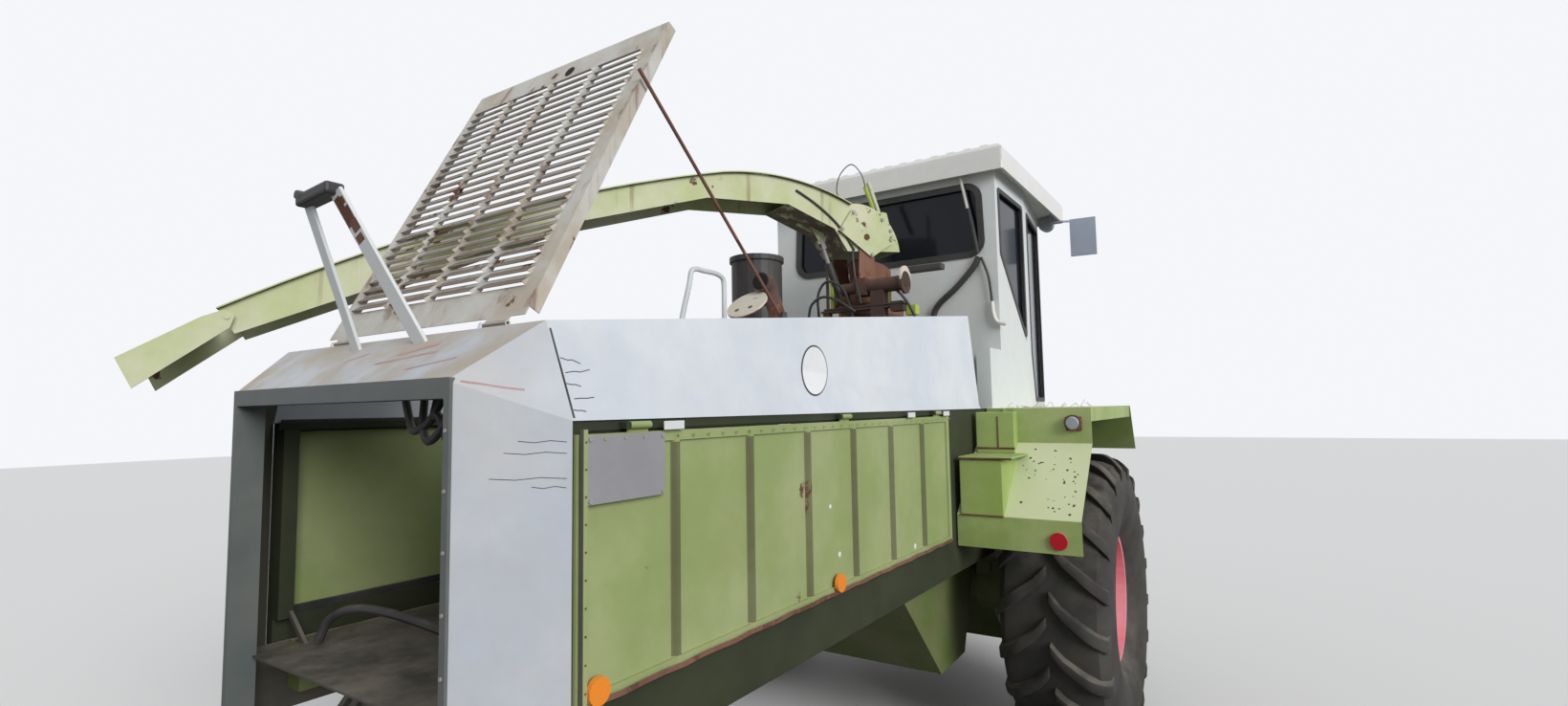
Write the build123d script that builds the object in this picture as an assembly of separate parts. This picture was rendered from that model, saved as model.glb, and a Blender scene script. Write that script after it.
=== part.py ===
from build123d import *
import math
import os

os.makedirs("parts", exist_ok=True)

# Working frame while modelling, in millimetres: +Z up from the ground, +Y to the rear
# from the front axle, +X to the driver's left from the middle of the hood.
# The whole machine is moved at the end so that its origin is the middle of its footprint.

# Sheet metal and running clearances
SHEET = 5.0
SEAT_GAP = 0.3
MOVE_GAP = 6.0
PIN_CLEAR = 0.05

# Front drive wheels
FRONT_TYRE_R = 790.0
FRONT_TYRE_W = 540.0
FRONT_TRACK = 2230.0
FRONT_BEAD_R = 345.0
FRONT_LUG_H = 38.0
FRONT_LUG_PAIRS = 20
FRONT_FACETS = 40
FRONT_AXLE_Z = FRONT_TYRE_R
FRONT_DISH = -20.0
BEAD_SHARE = 0.66
FLANGE_T = 10.0
FLANGE_H = 18.0
# Rear steered wheels
REAR_TYRE_R = 470.0
REAR_TYRE_W = 300.0
REAR_TRACK = 1960.0
REAR_BEAD_R = 235.0
REAR_FACETS = 32
REAR_AXLE_Y = 2550.0
REAR_DISH = -10.0
KINGPIN_X = 700.0
PIN_R = 22.0
HITCH_R = 16.0

# Chassis
RAIL_IN = 560.0
RAIL_W = 80.0
RAIL_Z0 = 1000.0
RAIL_H = 150.0
RAIL_FRONT_Y = -900.0
SILL_Z0 = 1045.0
SILL_X0 = 700.0
SILL_X1 = 740.0
BODY_FRONT_Y = 350.0
CROSS_MEMBERS = (1215.0, 1850.0, 3180.0)
OUTRIGGERS = (420.0, 1215.0, 2200.0, 3180.0)
JAW_H = 120.0
JAW_PLATE = 25.0
JAW_W = 60.0

# Engine hood: half widths and heights of its section at the rear and at the front
DOOR_X = 746.0
HOOD_REAR_Y = 3327.0
HOOD_FRONT_Y = 260.0
HOOD_BAND_Z = 1846.0
HOOD_REAR_TOP_Z = 2079.0
HOOD_FRONT_TOP_Z = 2385.0
HOOD_REAR_TOP_X = 652.0
HOOD_FRONT_TOP_X = 735.0
ROOF_FRONT_Y = 1080.0
HOOD_SLANT_LOW_Y = 505.0
HOOD_SLANT_TOP_Y = 612.0
DECK_Z = 2120.0
# Rear cowl and its opening
COWL_LENGTH = 170.0
COWL_X = 561.0
COWL_TOP_Z = 1946.0
COWL_BOTTOM_Z = 930.0
LIP_W = 30.0
LIP_TOP_H = 42.0
LIP_DEPTH = 55.0
COWL_REAR_Y = HOOD_REAR_Y + COWL_LENGTH
RAIL_REAR_Y = HOOD_REAR_Y - 27
HITCH_Y = COWL_REAR_Y + LIP_DEPTH + 58
# Ribbed side doors
DOOR_Y0 = 1030.0
DOOR_Y1 = HOOD_REAR_Y - MOVE_GAP
DOOR_Z0 = 1218.0
DOOR_Z1 = 1815.0
DOOR_RIBS = 6
DOOR_RIB_PITCH = 327.0
DOOR_DEPTH = 24.0
HEADER_Z0 = 1822.0
DOOR_HINGE_X = 756.0
DOOR_HINGE_Z = 1832.0
HINGE_PLACES = (3130.0, 2080.0, 1180.0)

# Louvred lid and its prop
LID_X = 40.0
LID_HALF_W = 510.0
LID_LENGTH = 1180.0
LID_HINGE_Y = HOOD_REAR_Y - 72
LID_OPEN_DEG = 62.0
LID_FLANGE = 34.0
LID_FLANGE_START = 45.0
LID_COLUMNS = 4
LID_ROWS = 26
PROP_R = 6.0
PROP_LENGTH = 1030.0
PROP_FOOT_Y = 2095.0
PROP_DEG = 42.0
PROP_OFFSET = 18.0
PROP_FOOT_H = 22.0
LID_HINGE_H = 12.0
LID_HINGES = (-450.0, 350.0)
RAIL_X = 560.0
RAIL_FEET = (1490.0, 1110.0)
RAIL_TOP_Z = 2650.0
RAIL_R = 15.0
FENDER_LAMP_X = 1245.0
FENDER_LAMP_Z = 1769.0
LOUVRE_SHARE = 0.62
LOUVRE_RISE = 13.0
LOUVRE_SIDE = 62.0
LOUVRE_GAP = 34.0
LOUVRE_LOW = 120.0
LOUVRE_HIGH = 90.0
REST_TOP_Z = 2440.0
REST_BARS = ((185.0, 95.0), (-100.0, 5.0))
# Spout and turret
TURRET_X = -100.0
TURRET_Y = 520.0
TURRET_R = 195.0
TURRET_Z0 = 2400.0
COLLAR_LOW_Z = 2665.0
COLLAR_HIGH_Z = 2745.0
SLEW_REST_DEG = 27.0
SPOUT_W = 260.0
SPOUT_DEPTH = 95.0
SPOUT_FLANGE = 22.0
ARM_GAP = 2.0
ARM_T = 10.0
PIVOT_R = 130.0
PIVOT_Z = 2850.0
PIVOT_PIN_R = 18.0
MOUTH_R = -128.0
MOUTH_Z = 2790.0
SPOUT_END = (3109.0, 2275.0)
CAP_HINGE = (3074.0, 2240.0)
CAP_PIN_R = 10.0
CYL_FOOT_R = 215.0
CYL_FOOT_Z = 2495.0
CYL_EYE_R = 350.0
CYL_EYE_Z = 2835.0
CYL_BARREL = 230.0
CYL_STEM_IN = 110.0
CYL_PIN_R = 10.0
EYE_DRIFT = 3.5

# Fenders
FENDER_X0 = 750.0
FENDER_X1 = 1327.0
FENDER_TOP_Z = 1846.0
FENDER_CREASE_Z = 1667.0
FENDER_REAR_Y = 600.0
FENDER_SKIRT_Y = 943.0
FENDER_SKIRT_TOP = 1333.0
FENDER_SKIRT_BOTTOM = 1180.0
FENDER_FRONT_Y = -880.0
FENDER_BOX_X = 950.0
FENDER_BOX_Y = 420.0

# Cab
CAB_X = 780.0
CAB_REAR_Y = 200.0
CAB_FRONT_Y = -1200.0
CAB_FLOOR_Z = 1760.0
CAB_WALL = 40.0
CAB_KINK_Y = -440.0
CAB_TAPER_DEG = 7.2
CAB_FRONT_X = CAB_X - (CAB_KINK_Y - CAB_FRONT_Y) * math.tan(math.radians(CAB_TAPER_DEG))
PEDESTAL_TOE_Z = 1500.0
CAB_ROOF_Z = 3300.0
ROOF_H = 120.0
ROOF_OVER = 70.0
ROOF_RIB_PITCH = 105.0
DOOR_SWING_DEG = 81.0
CAB_DOOR_Y0 = -1130.0
CAB_DOOR_Y1 = CAB_KINK_Y - 20
CAB_DOOR_Z0 = 1852.0
CAB_DOOR_Z1 = CAB_ROOF_Z - 110
CAB_HINGES = (CAB_DOOR_Z0 + 238, CAB_DOOR_Z1 - 260)
DOOR_AXIS_X = CAB_X + 16
DOOR_AXIS_Y = CAB_DOOR_Y0 - 10
DOOR_PIN_X = (CAB_X + (DOOR_AXIS_X - CAB_X) * math.cos(math.radians(CAB_TAPER_DEG))
              - (CAB_KINK_Y - DOOR_AXIS_Y) * math.sin(math.radians(CAB_TAPER_DEG)))
DOOR_PIN_Y = (CAB_KINK_Y - (DOOR_AXIS_X - CAB_X) * math.sin(math.radians(CAB_TAPER_DEG))
              - (CAB_KINK_Y - DOOR_AXIS_Y) * math.cos(math.radians(CAB_TAPER_DEG)))
# Crop path
FEEDER_HALF_W = 370.0
FEEDER_FRONT_Y = -1650.0
CHOPPER_Y0 = -900.0
FEED_Y = -1480.0
FEED_UPPER_Z = 700.0
FEED_LOWER_Z = 500.0
FEED_RIBS = 10

parts = {}


def block(x0, x1, y0, y1, z0, z1):
    """Box between two corners."""
    size = (abs(x1 - x0), abs(y1 - y0), abs(z1 - z0))
    return Pos((x0 + x1) / 2, (y0 + y1) / 2, (z0 + z1) / 2) * Box(*size)


def both(x0, x1, y0, y1, z0, z1):
    """The same box on the left and on the right."""
    return block(x0, x1, y0, y1, z0, z1) + block(-x0, -x1, y0, y1, z0, z1)


def rod(start, end, radius):
    """Round bar from one point to another."""
    a, b = Vector(*start), Vector(*end)
    return Plane(origin=a, z_dir=b - a) * extrude(Circle(radius), (b - a).length)


def side_plate(points, x0, x1):
    """Outline in (y, z), from x0 to x1."""
    face = make_face(Polyline(*points, close=True))
    return extrude(Plane.YZ.offset(x0) * face, x1 - x0)


def cross_plate(points, y0, y1):
    """Outline in (x, z), from y0 to y1."""
    face = make_face(Polyline(*points, close=True))
    return extrude(Plane.XZ.offset(-y0) * face, -(y1 - y0))


def mirrored(shape):
    """The same piece on the other side of the machine."""
    return mirror(shape, about=Plane.YZ)


def tube(points, radius, sides=8):
    """Tube along straight runs, mitred where they meet."""
    path = Polyline(*points)
    section = Plane(origin=path @ 0, z_dir=path % 0) * RegularPolygon(radius, sides)
    return sweep(section, path=path, transition=Transition.RIGHT)


def faceted(polygons):
    """Closed solid from flat polygons."""
    return Solid(Shell([make_face(Polyline(*p, close=True)) for p in polygons]))


def turned(profile, sides):
    """Outline in (x, radius) carried round the x axis in flat facets."""
    rings = []
    for i in range(sides):
        a, b = 2 * math.pi * i / sides, 2 * math.pi * (i + 1) / sides
        for (x0, r0), (x1, r1) in zip(profile, profile[1:] + profile[:1]):
            corners = [(x0, r0, a), (x0, r0, b), (x1, r1, b), (x1, r1, a)]
            if r0 == 0:
                corners = corners[1:]
            if r1 == 0:
                corners = corners[:-1]
            if len(corners) > 2:
                rings.append([(x, r * math.cos(t), r * math.sin(t)) for x, r, t in corners])
    return faceted(rings)


def between(front, rear):
    """Solid between two outlines of as many points, its sides split into flat triangles."""
    count = len(front)
    sides = [front[::-1], rear]
    for i in range(count):
        j = (i + 1) % count
        sides.append([front[i], front[j], rear[j]])
        sides.append([front[i], rear[j], rear[i]])
    return faceted(sides)


def prism(start, end, radius, sides=6):
    """Straight bar of even flats."""
    a, b = Vector(*start), Vector(*end)
    return Plane(origin=a, z_dir=b - a) * extrude(RegularPolygon(radius, sides), (b - a).length)


# Wheels

def front_tyre():
    """Drive tyre with chevron lugs, about an axle at the origin."""
    half = FRONT_TYRE_W / 2
    crown = FRONT_TYRE_R - FRONT_LUG_H
    right = [(BEAD_SHARE * half, FRONT_BEAD_R), (BEAD_SHARE * half, FRONT_BEAD_R + 28),
             (0.93 * half, FRONT_BEAD_R + 110), (half, FRONT_BEAD_R + 210),
             (0.93 * half, crown - 45), (0.60 * half, crown - 6)]
    tyre = turned([(-x, r) for x, r in right] + right[::-1], FRONT_FACETS)
    step = 360 / FRONT_LUG_PAIRS
    lug = front_lug(half, crown)
    lugs = []
    for i in range(FRONT_LUG_PAIRS):
        lugs.append(Rot(X=i * step) * lug)
        lugs.append(Rot(X=(i + 0.5) * step) * mirrored(lug))
    return tyre + lugs


def front_lug(half, crown):
    """One lug: a slanted bar on the crown, down over the shoulder."""
    low = crown - 60
    bar = [(0.02 * half, -150), (0.90 * half, 40), (0.90 * half, 105), (0.02 * half, -95)]
    face = make_face(Polyline(*bar, close=True))
    solid = extrude(Plane.XY.offset(low) * face, FRONT_TYRE_R + 1 - low)
    roof = cross_plate(
        [(-1.2 * half, low), (-1.2 * half, FRONT_TYRE_R + 1), (0.5 * half, FRONT_TYRE_R + 1),
         (0.97 * half, crown - 8), (0.97 * half, low)], -400, 400)
    tread = rod((-half, 0, 0), (half, 0, 0), FRONT_TYRE_R)
    return solid & roof & tread


def rear_tyre():
    """Ribbed steering tyre, about an axle at the origin."""
    half = REAR_TYRE_W / 2
    r = REAR_TYRE_R
    outline = [(-BEAD_SHARE * half, REAR_BEAD_R), (-BEAD_SHARE * half, REAR_BEAD_R + 28),
               (-0.98 * half, REAR_BEAD_R + 80),
               (-1.00 * half, r - 85), (-0.88 * half, r - 22)]
    for x in (-0.62, -0.10, 0.42):
        outline += [(x * half, r), ((x + 0.22) * half, r), ((x + 0.28) * half, r - 16),
                    ((x + 0.46) * half, r - 16)]
    outline = outline[:-1] + [(0.88 * half, r - 22), (1.00 * half, r - 85),
                              (0.98 * half, REAR_BEAD_R + 80),
                              (BEAD_SHARE * half, REAR_BEAD_R + 28),
                              (BEAD_SHARE * half, REAR_BEAD_R)]
    return turned(outline, REAR_FACETS)


def rim(bead_r, tyre_half, dish_x, hub_r, bolt_count, bolt_r, facets):
    """Wheel rim: flanged band and dished disc with nuts; the outer side faces +X."""
    edge = BEAD_SHARE * tyre_half + SEAT_GAP
    seat, well, lip = bead_r - SEAT_GAP, bead_r - 14, bead_r + FLANGE_H
    wall, rise = 12.0, 45.0
    back = dish_x + rise
    wheel = turned([
        (-edge - FLANGE_T, well), (-edge - FLANGE_T, lip), (-edge, lip), (-edge, seat),
        (edge, seat), (edge, lip), (edge + FLANGE_T, lip), (edge + FLANGE_T, well),
        (back + wall, well), (back + wall, bead_r - 66), (dish_x + wall, hub_r + 4), (dish_x + wall, 0),
        (dish_x, 0), (dish_x, hub_r), (back, bead_r - 60), (back, well)], facets)
    wheel += prism((dish_x + 1, 0, 0), (dish_x + 70, 0, 0), bolt_r - 32, 12)
    for i in range(bolt_count):
        nut = prism((dish_x + 1, 0, bolt_r), (dish_x + 36, 0, bolt_r), 16)
        wheel += Rot(X=360 * i / bolt_count) * nut
    return wheel


def wheels():
    """Four wheels: rims and tyres as separate pieces."""
    front = rim(FRONT_BEAD_R, FRONT_TYRE_W / 2, FRONT_DISH, 190, 8, 150, FRONT_FACETS)
    rear = rim(REAR_BEAD_R, REAR_TYRE_W / 2, REAR_DISH, 125, 6, 95, REAR_FACETS)
    tyre_f, tyre_r = front_tyre(), rear_tyre()
    for side, sign in (("left", 1), ("right", -1)):
        place_f = Pos(sign * FRONT_TRACK / 2, 0, FRONT_AXLE_Z)
        place_r = Pos(sign * REAR_TRACK / 2, REAR_AXLE_Y, REAR_TYRE_R)
        flip = (lambda s: s) if sign > 0 else mirrored
        parts["front_rim_" + side] = place_f * flip(front)
        parts["front_tyre_" + side] = place_f * flip(tyre_f)
        parts["rear_rim_" + side] = place_r * flip(rear)
        parts["rear_tyre_" + side] = place_r * flip(tyre_r)


def front_axle():
    """Drive axle: central gearbox, tube, final drives and hub flanges."""
    hub_end = FRONT_TRACK / 2 + FRONT_DISH - SEAT_GAP
    z = FRONT_AXLE_Z
    body = rod((-RAIL_IN, 0, z), (RAIL_IN, 0, z), 95)
    body += block(-170, 170, -105, 105, z - 120, z + 110)
    for s in (1, -1):
        body += rod((s * RAIL_IN, 0, z), (s * 760, 0, z), 150)
        body += rod((s * 760, 0, z), (s * hub_end, 0, z), 110)
        body += block(s * RAIL_IN, s * (RAIL_IN + RAIL_W), -130, 130, z, RAIL_Z0)
    parts["front_axle"] = body


def rear_axle():
    """Rear axle beam hung from a centre pivot, with its two steering knuckles."""
    z, y = REAR_TYRE_R, REAR_AXLE_Y
    beam = block(-KINGPIN_X + 80, KINGPIN_X - 80, y - 60, y + 60, z + 40, z + 170)
    beam += rod((0, y - 170, z + 105), (0, y + 170, z + 105), 55)
    for s in (1, -1):
        beam += block(s * (KINGPIN_X - 130), s * (KINGPIN_X - 80), y - 50, y + 50, z - 125, z + 170)
        for z0 in (z + 85, z - 125):
            beam += block(s * (KINGPIN_X - 80), s * (KINGPIN_X + 50), y - 50, y + 50, z0, z0 + 40)
        beam += rod((s * KINGPIN_X, y, z - 125), (s * KINGPIN_X, y, z + 125), PIN_R)
    parts["rear_axle_beam"] = beam
    hanger = both(0, 90, y - 190, y - 130, z + 30, RAIL_Z0) + both(0, 90, y + 130, y + 190, z + 30, RAIL_Z0)
    hanger += block(-RAIL_IN, RAIL_IN, y - 190, y - 100, RAIL_Z0, RAIL_Z0 + 90)
    hanger += block(-RAIL_IN, RAIL_IN, y + 100, y + 190, RAIL_Z0, RAIL_Z0 + 90)
    hanger -= rod((0, y - 200, z + 105), (0, y + 200, z + 105), 55 + PIN_CLEAR)
    parts["rear_axle_hanger"] = hanger
    for side, s in (("left", 1), ("right", -1)):
        x = s * KINGPIN_X
        hub_end = s * (REAR_TRACK / 2 + REAR_DISH - SEAT_GAP)
        knuckle = rod((x, y, z - 84), (x, y, z + 84), 42)
        knuckle += rod((x, y, z), (hub_end, y, z), 34)
        knuckle += rod((x + s * 62, y, z), (hub_end, y, z), 70)
        knuckle += block(x - 18, x + 18, y - 190, y, z - 20, z + 15)
        knuckle -= rod((x, y, z - 130), (x, y, z + 130), PIN_R + PIN_CLEAR)
        parts["knuckle_" + side] = knuckle


def chassis():
    """Two main rails, their cross members and outriggers, and the engine bay's floor."""
    top = RAIL_Z0 + RAIL_H
    parts["chassis_rails"] = both(RAIL_IN, RAIL_IN + RAIL_W, RAIL_FRONT_Y, RAIL_REAR_Y, RAIL_Z0, top)
    members = []
    for y in CROSS_MEMBERS:
        members.append(block(-RAIL_IN, RAIL_IN, y, y + 80, RAIL_Z0 + 30, top))
    for y in OUTRIGGERS:
        members.append(both(RAIL_IN + RAIL_W, SILL_X0, y, y + 80, RAIL_Z0 + 50, RAIL_Z0 + 110))
    parts["cross_members"] = Compound([s for m in members for s in m.solids()])
    floor = block(-RAIL_IN - 40, RAIL_IN + 40, 2830, RAIL_REAR_Y, top, top + 6)
    floor += block(-RAIL_IN + 20, RAIL_IN - 20, RAIL_REAR_Y, COWL_REAR_Y - 57, top, top + 6)
    parts["bay_floor"] = floor


def tow_hitch():
    """Tow jaw under the last cross member, its pin hole behind the lip."""
    y0 = CROSS_MEMBERS[-1]
    jaw_top = COWL_BOTTOM_Z - 15
    jaw = block(-JAW_W, JAW_W, y0, y0 + 80, jaw_top - JAW_H, RAIL_Z0 + 30)
    for z in (jaw_top - JAW_H, jaw_top - JAW_PLATE):
        jaw += block(-JAW_W, JAW_W, y0 + 80, HITCH_Y + 50, z, z + JAW_PLATE)
    parts["tow_hitch"] = jaw - rod((0, HITCH_Y, jaw_top - JAW_H - 1), (0, HITCH_Y, jaw_top + 1), HITCH_R)


def body_frame():
    """Folded side sills, door posts and header rails that carry the hood."""
    x0, x1 = SILL_X0, SILL_X1
    sill_top = DOOR_Z0 - MOVE_GAP
    fore = DOOR_Y0 - MOVE_GAP
    frame = both(x0, x1, BODY_FRONT_Y, HOOD_REAR_Y, SILL_Z0, sill_top)
    frame += both(x0 - 40, x1, DOOR_Y1 - 40, HOOD_REAR_Y, sill_top, HEADER_Z0)
    frame += both(x0, x1, fore - 60, fore, sill_top, HEADER_Z0)
    frame += both(x0, x1, BODY_FRONT_Y, BODY_FRONT_Y + 40, sill_top, HEADER_Z0)
    frame += both(x0, x1, BODY_FRONT_Y, HOOD_REAR_Y, HEADER_Z0, HOOD_BAND_Z)
    frame += both(x1 - 4, x1, BODY_FRONT_Y + 40, fore - 60, sill_top, HEADER_Z0)
    x, z = DOOR_HINGE_X, DOOR_HINGE_Z
    for s in (1, -1):
        for y in HINGE_PLACES:
            frame += block(s * x1, s * (x + 8), y + 35.5, y + 52, z - 8, z + 8)
            frame += rod((s * x, y - 30, z), (s * x, y + 52, z), 4)
    parts["body_frame"] = frame


def roof_z(y):
    """Height of the hood's roof at a place along it."""
    t = (y - HOOD_REAR_Y) / (HOOD_FRONT_Y - HOOD_REAR_Y)
    return HOOD_REAR_TOP_Z + t * (HOOD_FRONT_TOP_Z - HOOD_REAR_TOP_Z)


def hood_section(y, inset):
    """Outline of the hood at a place along it; the inner one runs out below."""
    t = (y - HOOD_REAR_Y) / (HOOD_FRONT_Y - HOOD_REAR_Y)
    top_x = HOOD_REAR_TOP_X + t * (HOOD_FRONT_TOP_X - HOOD_REAR_TOP_X) - inset
    low_z = HOOD_BAND_Z - 10 * inset
    low_x = DOOR_X - inset
    return [(-low_x, y, low_z), (-low_x, y, HOOD_BAND_Z + 1), (-top_x, y, roof_z(y) - inset),
            (top_x, y, roof_z(y) - inset), (low_x, y, HOOD_BAND_Z + 1), (low_x, y, low_z)]


def hood_shell():
    """Roof and slanting upper side bands over the engine, folded from sheet."""
    outer = between(hood_section(HOOD_FRONT_Y, 0), hood_section(HOOD_REAR_Y, 0))
    inner = between(hood_section(HOOD_FRONT_Y - 30, SHEET), hood_section(HOOD_REAR_Y + 30, SHEET))
    shell = outer - inner
    shell -= side_plate([(HOOD_FRONT_Y - 40, HOOD_BAND_Z - 100), (HOOD_SLANT_LOW_Y, HOOD_BAND_Z - 6),
                         (HOOD_SLANT_TOP_Y, HOOD_FRONT_TOP_Z), (HOOD_FRONT_Y - 40, HOOD_FRONT_TOP_Z + 40)],
                        -DOOR_X - 10, DOOR_X + 10)
    w = HOOD_REAR_TOP_X - 20
    shell -= block(-w, w, HOOD_FRONT_Y - 10, ROOF_FRONT_Y, DECK_Z - 40, HOOD_FRONT_TOP_Z + 100)
    w = LID_HALF_W + MOVE_GAP
    shell -= block(LID_X - w, LID_X + w, LID_HINGE_Y - LID_LENGTH - MOVE_GAP,
                   LID_HINGE_Y - LID_FLANGE_START + MOVE_GAP, HOOD_BAND_Z + 100, HOOD_FRONT_TOP_Z)
    z = roof_z(LID_HINGE_Y) + LID_HINGE_H
    for x in LID_HINGES:
        x += LID_X + 100.5
        shell += side_plate([(LID_HINGE_Y - 16, roof_z(LID_HINGE_Y - 16) - 1), (LID_HINGE_Y - 8, z + 8),
                             (LID_HINGE_Y + 8, z + 8), (LID_HINGE_Y + 16, roof_z(LID_HINGE_Y + 16) - 1)],
                            x, x + 12)
        shell += rod((x - 80, LID_HINGE_Y, z), (x, LID_HINGE_Y, z), 4)
    parts["hood_shell"] = shell


def turret_deck():
    """Sunk deck between cab and engine, with its rear bulkhead and the blower's mouth."""
    w = HOOD_REAR_TOP_X - 20
    y0, y1 = HOOD_FRONT_Y + 10, ROOF_FRONT_Y
    under = roof_z(y1) - SHEET - SEAT_GAP
    deck = block(-w, w, y0, y1, DECK_Z, DECK_Z + 6)
    deck += block(-w, w, y1 - 40, y1 - 34, DECK_Z + 6, under)
    for s in (1, -1):
        deck += block(s * (w - 6), s * w, y0, y1, DECK_Z - 120, DECK_Z)
        for y in (y0, y1 - 40):
            deck += block(s * (w - 40), s * (w - 6), y, y + 40, RAIL_Z0 + RAIL_H, DECK_Z)
    deck -= rod((TURRET_X, TURRET_Y, DECK_Z - 10), (TURRET_X, TURRET_Y, DECK_Z + 10), 150 + SEAT_GAP)
    parts["turret_deck"] = deck


def cowl_section(y, inset):
    """Outline of the rear cowl, from its wide front edge to its narrow rear edge."""
    t = (y - HOOD_REAR_Y) / COWL_LENGTH
    wide = DOOR_X + t * (COWL_X - DOOR_X) - inset
    top_x = HOOD_REAR_TOP_X + t * (COWL_X - 6 - HOOD_REAR_TOP_X) - inset
    band_z = HOOD_BAND_Z + t * (COWL_TOP_Z - 12 - HOOD_BAND_Z) - inset * 0.5
    top_z = HOOD_REAR_TOP_Z + t * (COWL_TOP_Z - HOOD_REAR_TOP_Z) - inset
    low = COWL_BOTTOM_Z + inset
    return [(-wide, y, low), (-wide, y, band_z), (-top_x, y, top_z),
            (top_x, y, top_z), (wide, y, band_z), (wide, y, low)]


def cowl_form(over, inset):
    """Solid form of the cowl, run past its ends."""
    return between(cowl_section(HOOD_REAR_Y - over, inset), cowl_section(COWL_REAR_Y + over, inset))


def rear_cowl():
    """Folded surround that narrows from the hood to the rear opening, and its grey lip."""
    parts["rear_cowl"] = cowl_form(0, 0) - cowl_form(0.1, SHEET)
    y0, y1 = COWL_REAR_Y, COWL_REAR_Y + LIP_DEPTH
    lip = block(-COWL_X, COWL_X, y0, y1, COWL_BOTTOM_Z, COWL_TOP_Z)
    lip -= block(-COWL_X + LIP_W, COWL_X - LIP_W, y0 - 1, y1 + 1,
                 COWL_BOTTOM_Z + LIP_W, COWL_TOP_Z - LIP_TOP_H)
    parts["rear_opening_frame"] = lip


def engine():
    """Engine as one plain block on two mounting beams."""
    top = RAIL_Z0 + RAIL_H
    block_part = block(-330, 390, 1990, 2790, top + 40, 1790)
    for y in (2060, 2640):
        block_part += block(-RAIL_IN - 40, RAIL_IN + 40, y, y + 90, top, top + 40)
    parts["engine_block"] = block_part


def side_doors():
    """Ribbed side doors, hinged along their top edge."""
    x1 = DOOR_X
    panel = block(x1 - 4, x1, DOOR_Y0, DOOR_Y1, DOOR_Z0, DOOR_Z1)
    for y in (DOOR_Y0, DOOR_Y1 - 34):
        panel += block(x1, x1 + 8, y, y + 34, DOOR_Z0, DOOR_Z1)
    for z in (DOOR_Z0, DOOR_Z1 - 26):
        panel += block(x1, x1 + 8, DOOR_Y0, DOOR_Y1, z, z + 26)
    for i in range(1, DOOR_RIBS + 1):
        y = DOOR_Y1 - i * DOOR_RIB_PITCH
        rib = [(x1 - 1, y - 15), (x1 + 12, y - 7), (x1 + 12, y + 7), (x1 - 1, y + 15)]
        face = make_face(Polyline(*rib, close=True))
        panel += extrude(Plane.XY.offset(DOOR_Z0 + 10) * face, DOOR_Z1 - DOOR_Z0 - 20)
    for y in HINGE_PLACES:
        panel += block(x1, x1 + 4, y - 35, y + 35, DOOR_Z1 - 20, DOOR_HINGE_Z)
        panel += rod((DOOR_HINGE_X, y - 35, DOOR_HINGE_Z), (DOOR_HINGE_X, y + 35, DOOR_HINGE_Z), 9)
        panel -= rod((DOOR_HINGE_X, y - 36, DOOR_HINGE_Z), (DOOR_HINGE_X, y + 36, DOOR_HINGE_Z), 4 + PIN_CLEAR)
    parts["side_door_left"] = panel
    parts["side_door_right"] = mirrored(panel)


def lid_frame():
    """Frame of the lid: origin on the hinge line, +Y along the lid, +Z its outer side."""
    return Pos(LID_X, LID_HINGE_Y, roof_z(LID_HINGE_Y) + LID_HINGE_H) * Rot(X=-LID_OPEN_DEG) * Rot(Z=180)


def louvred_lid():
    """Engine lid: flanged sheet with pressed louvres in rows, each open at its raised edge."""
    w, length, t = LID_HALF_W, LID_LENGTH, 3.0
    lid = block(-w, w, 20, length, 0, t)
    lid += both(w - t, w, LID_FLANGE_START, length, -LID_FLANGE, 0)
    lid += block(-w, w, length - t, length, -LID_FLANGE, 0)
    column = (2 * w - 2 * LOUVRE_SIDE - (LID_COLUMNS - 1) * LOUVRE_GAP) / LID_COLUMNS
    pitch = (length - LOUVRE_LOW - LOUVRE_HIGH) / LID_ROWS
    slots, vanes = [], []
    for c in range(LID_COLUMNS):
        x = -w + LOUVRE_SIDE + c * (column + LOUVRE_GAP)
        for r in range(LID_ROWS):
            y = LOUVRE_LOW + r * pitch
            far = y + LOUVRE_SHARE * pitch
            slots.append(block(x, x + column, y, far, -1, t + 1))
            vanes.append(side_plate([(far + 4, 0), (far + 4, t), (y + 2, t + LOUVRE_RISE),
                                     (y, t + LOUVRE_RISE - 2), (far - 4, 0)], x, x + column))
            for end in (x, x + column - 2):
                vanes.append(side_plate([(far + 2, t - 1), (y + 1, t + LOUVRE_RISE - 2), (y, t + LOUVRE_RISE - 5),
                                         (y, t - 1)], end, end + 2))
    lid = lid - slots
    lid = lid + vanes
    for x in LID_HINGES:
        lid += rod((-x, 0, 0), (-x - 100, 0, 0), 8) + block(-x - 100, -x, 0, 24, 0, t)
        lid -= rod((-x + 1, 0, 0), (-x - 101, 0, 0), 4 + PIN_CLEAR)
    parts["louvred_lid"] = lid_frame() * lid


def lid_prop():
    """Thin prop rod, on a foot at the lid's right edge."""
    x = LID_X - LID_HALF_W - PROP_OFFSET
    foot = (x, PROP_FOOT_Y, roof_z(PROP_FOOT_Y) + PROP_FOOT_H)
    a = math.radians(PROP_DEG)
    tip = (x, foot[1] + PROP_LENGTH * math.cos(a), foot[2] + PROP_LENGTH * math.sin(a))
    parts["prop_rod"] = rod(foot, tip, PROP_R) + rod((x - 10, foot[1], foot[2]), (x + 8, foot[1], foot[2]), 10)
    lug = side_plate([(foot[1] - 18, roof_z(foot[1] - 18)), (foot[1] - 14, foot[2] + 14),
                      (foot[1] + 14, foot[2] + 14), (foot[1] + 18, roof_z(foot[1] + 18))],
                     x - 20, x - 10 - SEAT_GAP)
    parts["prop_foot"] = lug


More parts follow.
